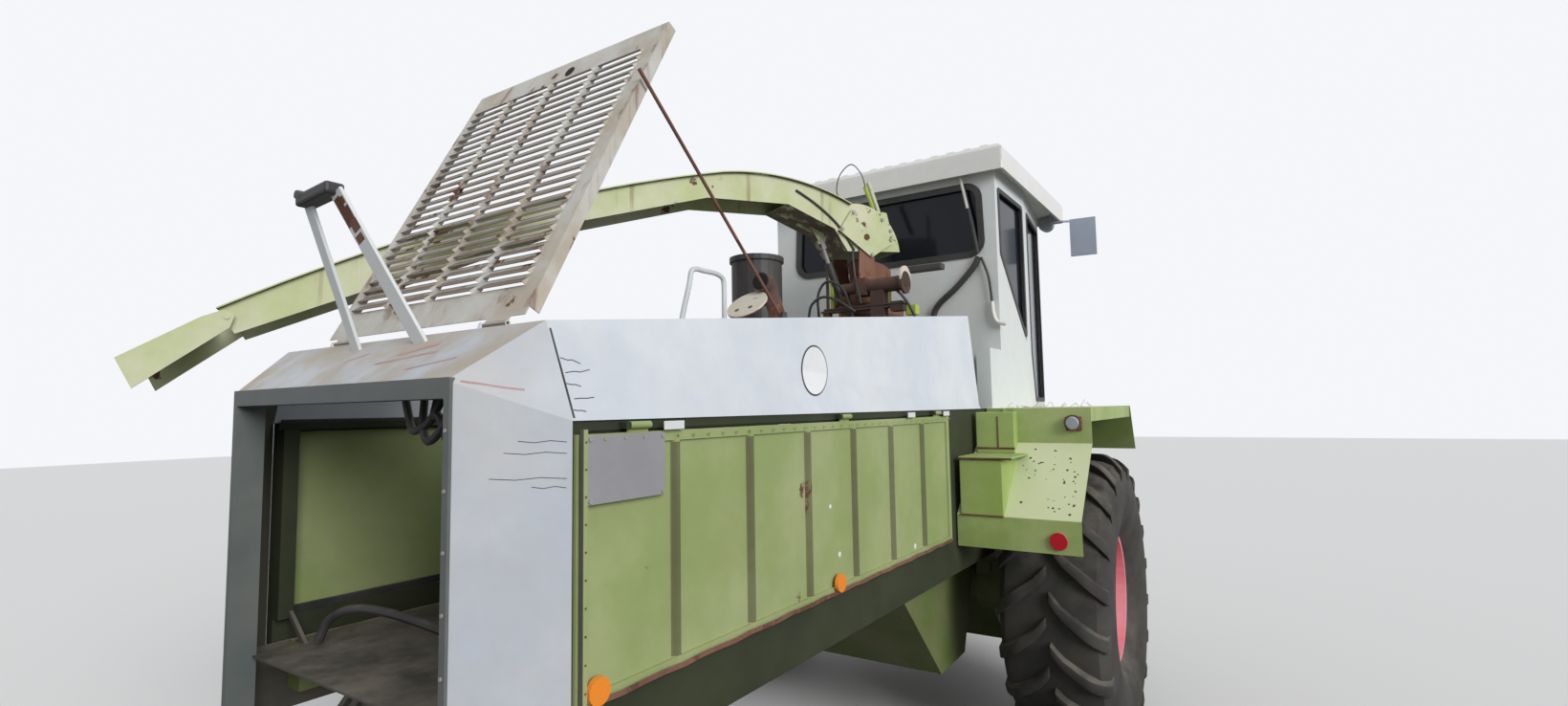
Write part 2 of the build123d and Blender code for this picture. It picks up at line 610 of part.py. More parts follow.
def spout_rest():
    """Two flat bars leaning rearwards, with a dark pad across their tops."""
    bars = []
    for x0, x1 in REST_BARS:
        foot, head = (x0, HOOD_REAR_Y + 23, 2030), (x1, HOOD_REAR_Y + 173, REST_TOP_Z)
        bars.append(between(*[[(x - 20, y - 5, z), (x + 20, y - 5, z), (x + 20, y + 5, z), (x - 20, y + 5, z)]
                              for x, y, z in (foot, head)]))
    rest = (bars[0] + bars[1]) - cowl_form(0, 0)
    rest += Pos(48, HOOD_REAR_Y + 181, REST_TOP_Z + 20) * Rot(X=-25, Y=-4) * Box(290, 70, 44)
    parts["spout_rest"] = rest


def spout_place(shape):
    """Turn a piece drawn along +Y from the turret's axis to where the spout rests."""
    return Pos(TURRET_X, TURRET_Y, 0) * Rot(Z=-SLEW_REST_DEG) * shape


def plane_solid(edges, width):
    """Solid of a closed outline in (reach, height), centred on the spout's plane."""
    return extrude(Plane.YZ * make_face(edges), width / 2, both=True)


def crest(inset):
    """Points of the spout's top line: out of the mouth, over the crest, down to the end."""
    end_r, end_z = SPOUT_END
    return [(MOUTH_R + inset, MOUTH_Z), (-45 + 0.7 * inset, 2965 - 0.7 * inset), (229, 3038 - inset),
            (637, 3129 - inset), (1045, 3104 - inset), (1950, 2826 - inset), (end_r, end_z - inset)]


def arcs(points):
    """Arcs through each run of three points."""
    return [ThreePointArc(*points[i:i + 3]) for i in range(0, len(points) - 2, 2)]


def spout():
    """Curved spout: closed elbow, then a channel open below, with rolled top flanges."""
    end_r, end_z = SPOUT_END
    half = SPOUT_W / 2
    under = [(end_r - 55, end_z - SPOUT_DEPTH), (1817, 2745), (1123, 2958), (640, 2985),
             (338, 2882), (250, MOUTH_Z - 30), (MOUTH_R, MOUTH_Z)]
    outer = plane_solid(arcs(crest(0)) + [Polyline((end_r, end_z), *under)], SPOUT_W)
    inner = plane_solid(arcs(crest(SHEET)) + [Polyline(
        (end_r, end_z - SHEET), (end_r + 9, end_z - SHEET), (end_r - 20, end_z - 260), (1817, 2650),
        (1123, 2860), (660, 2900), (646, 2991), (334, 2888), (199, 2700), (MOUTH_R + SHEET, 2700),
        (MOUTH_R + SHEET, MOUTH_Z))], SPOUT_W - 2 * SHEET)
    body = outer - inner
    strip = plane_solid(arcs(crest(0)) + [Line((end_r, end_z), (end_r, end_z - 6))]
                        + arcs(crest(6)[::-1]) + [Line((MOUTH_R + 6, MOUTH_Z), (MOUTH_R, MOUTH_Z))],
                        SPOUT_W + 2 * SPOUT_FLANGE)
    body += strip - block(-300, 300, -300, 229, 2500, 3300)
    for s in (1, -1):
        body += spout_cheek(s)
        body += rod((s * half, *CAP_HINGE), (s * (half + SPOUT_FLANGE + 14), *CAP_HINGE), CAP_PIN_R)
    body += side_plate([(316, 2856), (CYL_EYE_R - 21, CYL_EYE_Z - 6), (CYL_EYE_R - 12, CYL_EYE_Z - 20),
                        (CYL_EYE_R + 16, CYL_EYE_Z - 20), (CYL_EYE_R + 22, CYL_EYE_Z),
                        (420, 2905), (420, 2912), (336, 2885)], -10, 10)
    body += rod((-half + 14, 5, 3000), (-half + 14, 82, 3190), 13)
    body -= rod((-200, PIVOT_R, PIVOT_Z), (200, PIVOT_R, PIVOT_Z), PIVOT_PIN_R + PIN_CLEAR)
    body -= rod((-30, CYL_EYE_R, CYL_EYE_Z), (30, CYL_EYE_R, CYL_EYE_Z), CYL_PIN_R + EYE_DRIFT)
    parts["spout"] = spout_place(body)


def spout_cheek(s):
    """Bolted cheek plate outside the turret's arm, on two spacers, with a lifting ear."""
    wall, plate = SPOUT_W / 2, SPOUT_W / 2 + ARM_GAP * 2 + ARM_T
    cheek = side_plate([(-65, 2835), (-60, 2906), (9, 2987), (230, 3000), (318, 2871), (95, 2733)],
                       s * plate, s * (plate + 8))
    cheek += side_plate([(-40, 2940), (-20, 3010), (14, 3012), (34, 2970)], s * plate, s * (plate + 8))
    cheek += side_plate([(-65, 2840), (-60, 2906), (9, 2985), (30, 2960), (-20, 2900), (-30, 2850)],
                        s * wall, s * plate)
    cheek += side_plate([(230, 3000), (318, 2871), (290, 2862), (215, 2950)], s * wall, s * plate)
    return cheek


def spout_cap():
    """Hinged deflector at the spout's end, on pins through its two cheeks."""
    r, z = SPOUT_END
    wide = SPOUT_W / 2 + SPOUT_FLANGE + 4
    cap = side_plate([(r + 40, z - 38), (r + 273, z - 193), (r + 267, z - 201), (r + 36, z - 46)],
                     -wide, wide)
    cheek = [(CAP_HINGE[0] - 24, CAP_HINGE[1] + 10), (CAP_HINGE[0] + 10, CAP_HINGE[1] + 26),
             (r + 40, z - 38), (r + 273, z - 193), (r + 224, z - 300), (CAP_HINGE[0] - 10, CAP_HINGE[1] - 40)]
    for s in (1, -1):
        cap += side_plate(cheek, s * wide, s * (wide + 6))
    cap -= rod((-200, *CAP_HINGE), (200, *CAP_HINGE), CAP_PIN_R + PIN_CLEAR)
    parts["spout_cap"] = spout_place(cap)


def turret():
    """Blower mouth and fixed ring on the deck; above it the ring that slews."""
    base = rod((0, 0, DECK_Z - 320), (0, 0, TURRET_Z0 - SEAT_GAP), 150)
    base += rod((0, 0, TURRET_Z0 - 34), (0, 0, TURRET_Z0 - SEAT_GAP), TURRET_R)
    base -= rod((0, 0, DECK_Z - 321), (0, 0, TURRET_Z0), 132)
    ring_top = TURRET_Z0 + 70
    ring = rod((0, 0, TURRET_Z0), (0, 0, ring_top), TURRET_R)
    ring += rod((0, 0, ring_top), (0, 0, COLLAR_HIGH_Z), 125)
    ring -= rod((0, 0, TURRET_Z0 - 1), (0, 0, COLLAR_HIGH_Z + 1), 117)
    ring -= side_plate([(-126, COLLAR_LOW_Z), (126, COLLAR_HIGH_Z), (126, COLLAR_HIGH_Z + 2),
                        (-126, COLLAR_HIGH_Z + 2)], -130, 130)
    x = SPOUT_W / 2 + ARM_GAP
    for s in (1, -1):
        ring += side_plate([(40, ring_top - 4), (88, PIVOT_Z + 30), (172, PIVOT_Z + 30), (190, ring_top - 4)],
                           s * x, s * (x + ARM_T))
        ring += rod((s * (SPOUT_W / 2 - 20), PIVOT_R, PIVOT_Z), (s * (x + 26), PIVOT_R, PIVOT_Z), PIVOT_PIN_R)
        ring += side_plate([(130, ring_top - 4), (CYL_FOOT_R - 20, CYL_FOOT_Z + 18),
                            (CYL_FOOT_R + 20, CYL_FOOT_Z + 18), (CYL_FOOT_R + 20, ring_top - 4)], s * 14, s * 22)
    ring += rod((-22, CYL_FOOT_R, CYL_FOOT_Z), (22, CYL_FOOT_R, CYL_FOOT_Z), CYL_PIN_R)
    parts["turret_base"] = Pos(TURRET_X, TURRET_Y, 0) * base
    parts["turret_ring"] = spout_place(ring)


def lift_cylinder():
    """Small ram behind the turret: its foot on the ring, its rod's eye under the elbow."""
    length = math.hypot(CYL_EYE_R - CYL_FOOT_R, CYL_EYE_Z - CYL_FOOT_Z)
    lean = math.degrees(math.atan2(CYL_EYE_R - CYL_FOOT_R, CYL_EYE_Z - CYL_FOOT_Z))
    place = Pos(0, CYL_FOOT_R, CYL_FOOT_Z) * Rot(X=-lean)
    foot = rod((-12, 0, 0), (12, 0, 0), 19) - rod((-13, 0, 0), (13, 0, 0), CYL_PIN_R + PIN_CLEAR)
    foot += block(-12, 12, -13, 13, 14, 50)
    barrel = rod((0, 0, 48), (0, 0, CYL_BARREL), 24) - rod((0, 0, 60), (0, 0, CYL_BARREL + 1), 12 + PIN_CLEAR)
    parts["lift_cylinder_barrel"] = spout_place(place * (foot + barrel))
    stem = rod((0, 0, CYL_STEM_IN), (0, 0, length - 36), 12)
    for s in (1, -1):
        stem += block(s * 11, s * 17, -14, 14, length - 50, length + 14)
    stem += block(-17, 17, -14, 14, length - 50, length - 34)
    stem += rod((-17, 0, length), (17, 0, length), CYL_PIN_R)
    parts["lift_cylinder_rod"] = spout_place(place * stem)


def slew_motor():
    """Worm motor lying crosswise behind the turret, on its post and a long flat bar."""
    y, z = TURRET_Y + 280, TURRET_Z0 + 140
    motor = rod((-440, y, z), (-200, y, z), 42) + rod((-455, y, z), (-440, y, z), 62)
    motor += rod((-200, y, z), (-60, y, z), 32) + block(-230, -170, y - 46, y + 46, z - 50, z + 46)
    motor += block(-330, -250, y - 30, y + 30, DECK_Z + 6, z - 20)
    motor += block(-430, 70, y - 28, y + 28, TURRET_Z0 + 10, TURRET_Z0 + 22)
    motor += block(20, 60, y - 20, y + 20, DECK_Z + 6, TURRET_Z0 + 10)
    motor += block(22, 36, y + 8, y + 22, TURRET_Z0 + 22, TURRET_Z0 + 230)
    motor += block(-440, -370, y - 30, y + 30, TURRET_Z0 - 14, TURRET_Z0 + 40)
    parts["slew_motor"] = motor


def fenders():
    """Front wheel fenders: top channel, sloping sheet and skirt, with a stepped inner box."""
    t = 4.0
    top, rear, box_x, box_y = FENDER_TOP_Z, FENDER_REAR_Y, FENDER_BOX_X, FENDER_BOX_Y
    outer = [(FENDER_FRONT_Y, 1560), (FENDER_FRONT_Y + 160, top), (rear, top),
             (rear, FENDER_CREASE_Z), (FENDER_SKIRT_Y, FENDER_SKIRT_TOP),
             (FENDER_SKIRT_Y, FENDER_SKIRT_BOTTOM)]
    inner = [(FENDER_SKIRT_Y - t, FENDER_SKIRT_BOTTOM), (FENDER_SKIRT_Y - t, FENDER_SKIRT_TOP - 2),
             (rear - t, FENDER_CREASE_Z - 2), (rear - t, top - t),
             (FENDER_FRONT_Y + 163, top - t), (FENDER_FRONT_Y + t, 1560)]
    fender = side_plate(outer + inner, FENDER_X0, FENDER_X1)
    fender -= block(FENDER_X0 - 1, box_x, box_y, rear + 1, FENDER_CREASE_Z - 2, top + 1)
    fender += block(FENDER_X1 - t, FENDER_X1, FENDER_FRONT_Y + 200, rear - t, top - 70, top - t)
    fender += side_plate([(box_y - 40, top - t), (rear - t, top - t), (rear - t, FENDER_CREASE_Z - 6),
                          (box_y - 40, FENDER_CREASE_Z - 6)], box_x, box_x + t)
    fender += block(FENDER_X0, box_x + 1, box_y - t, box_y, FENDER_CREASE_Z - 6, top - t)
    fender += block(FENDER_X0, box_x + 1, box_y - t, rear - 1, FENDER_CREASE_Z - 6, FENDER_CREASE_Z - 2)
    fender += block(FENDER_X0 + 92, FENDER_X0 + 104, box_y - 1, box_y + 16, FENDER_CREASE_Z - 3, top - t)
    fender -= block(0, CAB_X + SEAT_GAP, CAB_FRONT_Y, CAB_REAR_Y + SEAT_GAP, 1000, CAB_ROOF_Z)
    parts["fender_left"] = fender
    parts["fender_right"] = mirrored(fender)


def hoses():
    """Hose and cable clipped along the cab's rear wall, and a bent drain pipe."""
    wall, deck = CAB_REAR_Y + 18, DECK_Z + 6 + SEAT_GAP
    runs = [(14, [(-675, wall, 2750), (-640, wall, 2690), (-533, wall, 2581), (-420, wall, 2490),
                  (-378, wall + 6, 2410), (-376, wall + 60, 2300), (-376, wall + 60, deck)]),
            (7, [(-690, wall, 2745), (-725, wall, 2640), (-744, wall, 2473)]),
            (12, [(-744, wall, 2474), (-750, wall, 2400), (-772, wall, 2350), (-822, wall, 2334)])]
    parts["hoses"] = Compound([s for r, points in runs for s in tube(points, r).solids()])


def cab_duct():
    """Upright sheet duct between the hood's front edge and the cab's rear right corner."""
    z0 = FENDER_TOP_Z + SEAT_GAP
    parts["cab_duct"] = block(-CAB_X, -CAB_X + 80, CAB_REAR_Y + SEAT_GAP, FENDER_BOX_Y - 10, z0, z0 + 340)


def crop_path():
    """Housings that the crop passes through: feeder, chopping drum and blower."""
    w = FEEDER_HALF_W
    y0, y1 = FEEDER_FRONT_Y, CHOPPER_Y0
    feeder = block(-w, w, y0, y1, 400, 900) - block(-w + 12, w - 12, y0 - 1, y1 - 40, 412, 850)
    for s in (1, -1):
        for z in (FEED_UPPER_Z, FEED_LOWER_Z):
            feeder -= rod((s * (w - 13), FEED_Y, z), (s * (w + 1), FEED_Y, z), 22 + PIN_CLEAR)
    parts["feeder_housing"] = feeder
    for name, z, r in (("feed_roll_upper", FEED_UPPER_Z, 105), ("feed_roll_lower", FEED_LOWER_Z, 80)):
        roll = rod((-w + 20, FEED_Y, z), (w - 20, FEED_Y, z), r - 16)
        roll += rod((-w + 1, FEED_Y, z), (w - 1, FEED_Y, z), 22)
        for i in range(FEED_RIBS):
            a = 360 * i / FEED_RIBS
            roll += Pos(0, FEED_Y, z) * Rot(X=a) * block(-w + 20, w - 20, -6, 6, 0, r)
        parts[name] = roll
    drum = side_plate([(CHOPPER_Y0, 400), (CHOPPER_Y0, 1080), (-480, 1150), (-200, 1150),
                       (-150, 1100), (-150, 620), (-400, 340), (-700, 340)], -RAIL_IN, RAIL_IN)
    parts["chopper_housing"] = drum
    blower = side_plate([(1190, 1180), (1190, 940), (737, 467), (380, 480), (200, 900), (200, 1180)],
                        -RAIL_IN, RAIL_IN)
    funnel = [[(TURRET_X + i * w, TURRET_Y + j * d, z) for i, j in ((-1, -1), (1, -1), (1, 1), (-1, 1))]
              for w, d, z in ((260, 210, 1180), (125, 125, DECK_Z - 320))]
    blower += between(*funnel)
    blower += block(-200, 200, -150, 200, FRONT_AXLE_Z + 118, 1100)
    parts["blower_housing"] = blower


def tapered(solid):
    """A piece of the cab's straight left side, turned in with the tapered front half."""
    kink = Pos(CAB_X, CAB_KINK_Y, 0)
    return kink * Rot(Z=-CAB_TAPER_DEG) * kink.inverse() * solid


def cab_plan(inset, z0, z1):
    """Prism on the cab's plan, whose sides turn inward ahead of the middle post."""
    x, front = CAB_X - inset, CAB_FRONT_X - inset
    y0, y1 = CAB_FRONT_Y + inset, CAB_REAR_Y - inset
    plan = Polyline((-x, y1), (x, y1), (x, CAB_KINK_Y), (front, y0), (-front, y0), (-x, CAB_KINK_Y), close=True)
    return Pos(0, 0, z0) * extrude(make_face(plan), z1 - z0)


def cab():
    """Cab: floor and pedestal, tapered walls with window openings, roof, glass and door."""
    x, y0, y1, z0, z1, t = CAB_X, CAB_FRONT_Y, CAB_REAR_Y, CAB_FLOOR_Z, CAB_ROOF_Z, CAB_WALL
    shell = cab_plan(0, z0, z1) - cab_plan(t, z0 + t, z1 + 1)
    top, sill = z1 - 130, z0 + 390
    rear = [(-703, z1 - 535), (-690, z1 - 95), (600, z1 - 95), (620, z1 - 535)]
    shell -= cross_plate(rear, y1 - t - 1, y1 + 1)
    pane = CAB_FRONT_X - 45
    front = [(-pane, sill), (-pane, z1 - 100), (pane, z1 - 100), (pane, sill)]
    shell -= cross_plate(front, y0 - 1, y0 + t + 1)
    side_rear = [(150, top), (138, top - 400), (CAB_KINK_Y + 55, sill + 125), (CAB_KINK_Y + 55, top)]
    side_front = [(CAB_KINK_Y - 100, sill + 60), (CAB_KINK_Y - 100, top), (y0 + 50, top),
                  (y0 + 50, z0 + 130), (CAB_KINK_Y - 230, z0 + 130)]
    shell -= side_plate(side_rear, -x - 1, -x + t + 1)
    shell -= mirrored(tapered(side_plate(side_front, x - 1.5 * t, x + 1)))
    shell -= side_plate(side_rear, x - t - 1, x + 1)
    shell -= tapered(block(x - 1.5 * t, x + 1, CAB_DOOR_Y0, CAB_DOOR_Y1, CAB_DOOR_Z0, CAB_DOOR_Z1))
    for z in CAB_HINGES:
        shell += tapered(block(x - 1, DOOR_AXIS_X + 10, DOOR_AXIS_Y - 10, DOOR_AXIS_Y + 8, z + 30.5, z + 44))
        shell += tapered(rod((DOOR_AXIS_X, DOOR_AXIS_Y, z - 30), (DOOR_AXIS_X, DOOR_AXIS_Y, z + 40), 6))
    parts["cab_shell"] = shell
    glass = cross_plate(rear, y1 - 24, y1 - 18) + cross_plate(front, y0 + 18, y0 + 24)
    glass += side_plate(side_rear, -x + 18, -x + 24)
    glass += mirrored(tapered(side_plate(side_front, x - 24, x - 18)))
    glass += side_plate(side_rear, x - 24, x - 18)
    parts["cab_glass"] = glass
    e = ROOF_OVER
    roof = block(-x - e, x + e, y0 - e - 40, y1 + e, z1, z1 + ROOF_H)
    roof = chamfer(roof.faces().sort_by(Axis.Z)[-1].edges(), 40)
    ribs = int(2 * (x + e) / ROOF_RIB_PITCH)
    for i in range(ribs):
        groove = -x - e + (i + 0.3) * ROOF_RIB_PITCH
        roof -= block(groove, groove + 0.55 * ROOF_RIB_PITCH, y0 - e, y1 + e + 1, z1 + ROOF_H - 12, z1 + ROOF_H + 1)
    parts["cab_roof"] = roof
    base = side_plate([(y0 + 60, CAB_FLOOR_Z), (y1, CAB_FLOOR_Z), (y1, RAIL_Z0 + RAIL_H),
                       (-480, RAIL_Z0 + RAIL_H), (y0 + 60, PEDESTAL_TOE_Z)], -RAIL_IN, RAIL_IN)
    base -= side_plate([(y0 + 66, CAB_FLOOR_Z - 6), (y1 - 6, CAB_FLOOR_Z - 6),
                        (y1 - 6, RAIL_Z0 + RAIL_H - 1), (-470, RAIL_Z0 + RAIL_H - 1),
                        (y0 + 66, PEDESTAL_TOE_Z + 6)], -RAIL_IN + 6, RAIL_IN - 6)
    parts["cab_pedestal"] = base


def cab_door():
    """Left cab door with its window, standing open on hinges at its front edge."""
    t = 32.0
    g = MOVE_GAP
    y0, y1 = CAB_DOOR_Y0 + g, CAB_DOOR_Y1 - g
    z0, z1 = CAB_DOOR_Z0 + g, CAB_DOOR_Z1 - g
    x1 = CAB_X - 2
    door = block(x1 - t, x1, y0, y1, z0, z1)
    door -= block(x1 - t - 1, x1 + 1, y0 + 70, y1 - 70, z0 + 620, z1 - 70)
    glass = block(x1 - t / 2 - 3, x1 - t / 2 + 3, y0 + 70, y1 - 70, z0 + 620, z1 - 70)
    hinge = Pos(DOOR_AXIS_X, DOOR_AXIS_Y, 0)
    swing = hinge * Rot(Z=-DOOR_SWING_DEG) * hinge.inverse()
    for z in CAB_HINGES:
        door += block(x1, DOOR_AXIS_X, y0, y0 + 60, z - 30, z + 30)
        door += block(CAB_X + g, DOOR_AXIS_X, DOOR_AXIS_Y - 4, y0 + 1, z - 30, z + 30)
        door += rod((DOOR_AXIS_X, DOOR_AXIS_Y, z - 30), (DOOR_AXIS_X, DOOR_AXIS_Y, z + 30), 12)
        door -= rod((DOOR_AXIS_X, DOOR_AXIS_Y, z - 31), (DOOR_AXIS_X, DOOR_AXIS_Y, z + 31), 6 + PIN_CLEAR)
    parts["cab_door"] = tapered(swing * door)
    parts["door_glass"] = tapered(swing * glass)


def cab_inside():
    """Driver's seat, and the steering column with its wheel."""
    z = CAB_FLOOR_Z + CAB_WALL
    seat = block(-150, 150, -520, -220, z, z + 300)
    seat += block(-240, 240, -620, -160, z + 300, z + 420)
    seat += side_plate([(-200, z + 420), (-110, z + 900), (-20, z + 900), (-90, z + 420)], -230, 230)
    parts["seat"] = seat
    column = prism((0, -1040, z + 16), (0, -860, z + 560), 45, 8) + block(-60, 60, -1110, -980, z, z + 60)
    section = [(15 * math.cos(a), 200 + 15 * math.sin(a)) for a in [math.pi * k / 3 for k in range(6)]]
    wheel = Rot(Y=90) * turned(section, 24) + Box(390, 24, 14) + Box(24, 390, 14)
    column += Pos(0, -860, z + 560) * Rot(X=18) * wheel
    parts["steering_column"] = column


def mirrors():
    """Mirrors on bent arms at the cab's front corners."""
    y, z = CAB_FRONT_Y + 20, CAB_ROOF_Z - 70
    one = tube([(-790, y, CAB_ROOF_Z - SEAT_GAP), (-790, y, z), (-870, y, z), (-920, y - 70, z + 10),
                (-1000, y - 75, z), (-1000, y - 75, z - 90)], 9, 6)
    one += Pos(-1000, y - 75, z - 120) * Rot(Z=6) * Box(180, 24, 280)
    parts["mirrors"] = one + mirrored(one)


def deck_items():
    """Air cleaner, exhaust stub with its oval flap, and handrail on the hood's roof."""
    x, y = 60, 1480
    radius, lid_z = 128, roof_z(y) + 335
    drum = prism((x, y, roof_z(y - radius) + SEAT_GAP), (x, y, lid_z), radius, 24)
    drum += prism((x, y, lid_z), (x, y, lid_z + 25), radius + 10, 24)
    parts["air_cleaner"] = drum
    x, y = -170, 1640
    z = roof_z(y)
    pipe = rod((x, y, roof_z(y - 44) + SEAT_GAP), (x, y, z + 60), 44)
    pipe += rod((x, y, z + 50), (x, y + 100, z + 210), 38)
    pipe -= rod((x, y + 20, z + 82), (x, y + 101, z + 212), 33)
    pipe += Pos(x + 25, y + 206, z + 77) * Rot(X=-41) * Cylinder(95, 5)
    pipe += block(x - 10, x + 10, y + 60, y + 180, z + 100, z + 112)
    parts["exhaust_stub"] = pipe
    y0, y1 = RAIL_FEET
    foot = roof_z(y0 - RAIL_R) + SEAT_GAP
    rail = tube([(RAIL_X, y0, foot), (RAIL_X, y0, foot + 4 * RAIL_R), (RAIL_X, y0 - 80, RAIL_TOP_Z),
                 (RAIL_X, y1, RAIL_TOP_Z), (RAIL_X, y1, roof_z(y1 - RAIL_R) + SEAT_GAP)], RAIL_R)
    parts["deck_handrail"] = rail


def ladder():
    """Ladder up to the left fender platform, in front of the left wheel."""
    y = FENDER_FRONT_Y - 60
    x0, x1 = 880, 1280
    piece = block(x0, x0 + 30, y - 40, y, 500, 1700) + block(x1 - 30, x1, y - 40, y, 500, 1700)
    for z in (510, 790, 1070, 1350):
        piece += block(x0 + 30, x1 - 30, y - 130, y, z, z + 30)
    piece += block(x0, x1, y, FENDER_FRONT_Y + 4, 1500, 1560)
    parts["ladder"] = piece


def lamps():
    """Work lamps under the roof's front corners, fender lamps and round reflectors."""
    lamps_made = []
    for s in (1, -1):
        lamps_made.append(rod((s * 740, CAB_FRONT_Y - 30, CAB_ROOF_Z - 60),
                              (s * 740, CAB_FRONT_Y - 80, CAB_ROOF_Z - 60), 55))
        lamps_made.append(block(s * 730, s * 750, CAB_FRONT_Y - 60, CAB_FRONT_Y - 50, CAB_ROOF_Z - 20, CAB_ROOF_Z))
        lamps_made.append(rod((s * FENDER_LAMP_X, FENDER_REAR_Y, FENDER_LAMP_Z),
                              (s * FENDER_LAMP_X, FENDER_REAR_Y + 30, FENDER_LAMP_Z), 30))
        lamps_made.append(rod((s * 1227, FENDER_SKIRT_Y, 1240), (s * 1227, FENDER_SKIRT_Y + 12, 1240), 38))
    whole = lamps_made[0]
    for piece in lamps_made[1:]:
        whole += piece
    parts["lamps"] = whole


def build():
    """Model every piece in the working frame."""
    wheels()
    front_axle()
    rear_axle()
    chassis()
    tow_hitch()
    body_frame()
    hood_shell()
    turret_deck()
    rear_cowl()
    engine()
    side_doors()
    louvred_lid()
    lid_prop()
    spout_rest()
    spout()
    spout_cap()
    turret()
    lift_cylinder()
    slew_motor()
    fenders()
    cab_duct()
    hoses()
    crop_path()
    cab()
    cab_door()
    cab_inside()
    mirrors()
    deck_items()
    ladder()
    lamps()


build()
box = Compound(children=[Compound(p.solids()) for p in parts.values()]).bounding_box()
shift = Pos(-box.center().X, -box.center().Y, 0)
print("origin shift", -box.center().X, -box.center().Y)
for name, shape in parts.items():
    export_step(Compound((shift * shape).solids()), "parts/" + name + ".step")
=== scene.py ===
import math
import random
import bmesh
import bpy
from mathutils import Matrix, Vector
from mathutils.bvhtree import BVHTree


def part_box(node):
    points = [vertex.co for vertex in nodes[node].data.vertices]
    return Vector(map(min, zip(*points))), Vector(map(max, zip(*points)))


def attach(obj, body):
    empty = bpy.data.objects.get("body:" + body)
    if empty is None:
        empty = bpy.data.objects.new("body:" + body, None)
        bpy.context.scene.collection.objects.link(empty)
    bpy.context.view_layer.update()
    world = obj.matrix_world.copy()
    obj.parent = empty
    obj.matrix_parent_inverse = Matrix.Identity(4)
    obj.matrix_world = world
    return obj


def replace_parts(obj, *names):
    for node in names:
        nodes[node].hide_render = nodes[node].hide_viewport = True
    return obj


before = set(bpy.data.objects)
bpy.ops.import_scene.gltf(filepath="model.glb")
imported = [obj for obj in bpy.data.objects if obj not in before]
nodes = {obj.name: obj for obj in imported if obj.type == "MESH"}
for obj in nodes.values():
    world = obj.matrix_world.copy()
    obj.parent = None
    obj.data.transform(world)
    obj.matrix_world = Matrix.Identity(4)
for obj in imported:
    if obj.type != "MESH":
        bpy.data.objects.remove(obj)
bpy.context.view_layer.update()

# Camera and studio. The photograph was taken close behind the right rear corner with a wide
# lens. The camera stands at its eye height and turns as it did; the floor is a pale sheet
# and the light is a soft sky with one broad, weak lamp over the rear.

hood_low, hood_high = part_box("hood_shell")
MIDDLE_X = (hood_low.x + hood_high.x) / 2
AXLE_Y = sum(corner.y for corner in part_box("front_tyre_left")) / 2


def at(x, y, z):
    """Place measured from the hood's middle line, the front axle and the ground."""
    return Vector((MIDDLE_X + x, AXLE_Y + y, z))


UP = Vector((0, 0, 1))
EYE = at(-2.0134, 4.3993, 1.8654)
YAW, PITCH, ROLL = 0.581, 0.0773, -0.0173
FOCUS_PX, IMAGE_W, IMAGE_H = 748.5, 1640, 738
SENSOR_MM = 36
forward = Vector((math.sin(YAW) * math.cos(PITCH), -math.cos(YAW) * math.cos(PITCH), math.sin(PITCH)))
level = forward.cross(UP).normalized()
upright = level.cross(forward)
right = math.cos(ROLL) * level + math.sin(ROLL) * upright
above = -math.sin(ROLL) * level + math.cos(ROLL) * upright


def link(obj):
    """Put an object in the scene."""
    bpy.context.scene.collection.objects.link(obj)
    return obj


camera = link(bpy.data.objects.new("camera", bpy.data.cameras.new("camera")))
camera.data.sensor_width = SENSOR_MM
camera.data.lens = FOCUS_PX / IMAGE_W * SENSOR_MM
camera.data.clip_start = 0.05
camera.matrix_world = Matrix.Translation(EYE) @ Matrix((right, above, -forward)).transposed().to_4x4()
bpy.context.scene.camera = camera
bpy.context.scene.view_settings.view_transform = "Standard"


def feed(tree, socket, value):
    """Link an input to an output, or set it to a value."""
    if hasattr(value, "links"):
        tree.links.new(value, socket)
    else:
        socket.default_value = value


def math_node(tree, operation, a, b):
    """Math node fed by sockets or numbers."""
    node = tree.nodes.new("ShaderNodeMath")
    node.operation = operation
    for socket, value in zip(node.inputs, (a, b)):
        feed(tree, socket, value)
    return node.outputs[0]


def mix_colour(tree, share, a, b):
    """Colour a turning to b by a share."""
    node = tree.nodes.new("ShaderNodeMix")
    node.data_type = "RGBA"
    for number, value in ((0, share), (6, a), (7, b)):
        feed(tree, node.inputs[number], (*value, 1) if isinstance(value, tuple) else value)
    return node.outputs[2]


def plain(name, colour, rough, more=()):
    """Material of one colour and gloss; more gives other values of its shader by their names."""
    material = bpy.data.materials.new(name)
    material.use_nodes = True
    tree = material.node_tree
    tree.nodes.clear()
    out = tree.nodes.new("ShaderNodeOutputMaterial")
    shader = tree.nodes.new("ShaderNodeBsdfPrincipled")
    tree.links.new(shader.outputs["BSDF"], out.inputs["Surface"])
    shader.inputs["Base Color"].default_value = (*colour, 1)
    shader.inputs["Roughness"].default_value = rough
    for label, value in dict(more).items():
        shader.inputs[label].default_value = value
    return material


def shader_of(material):
    """Node tree of a material, and its Principled shader."""
    tree = material.node_tree
    return tree, next(node for node in tree.nodes if node.type == "BSDF_PRINCIPLED")


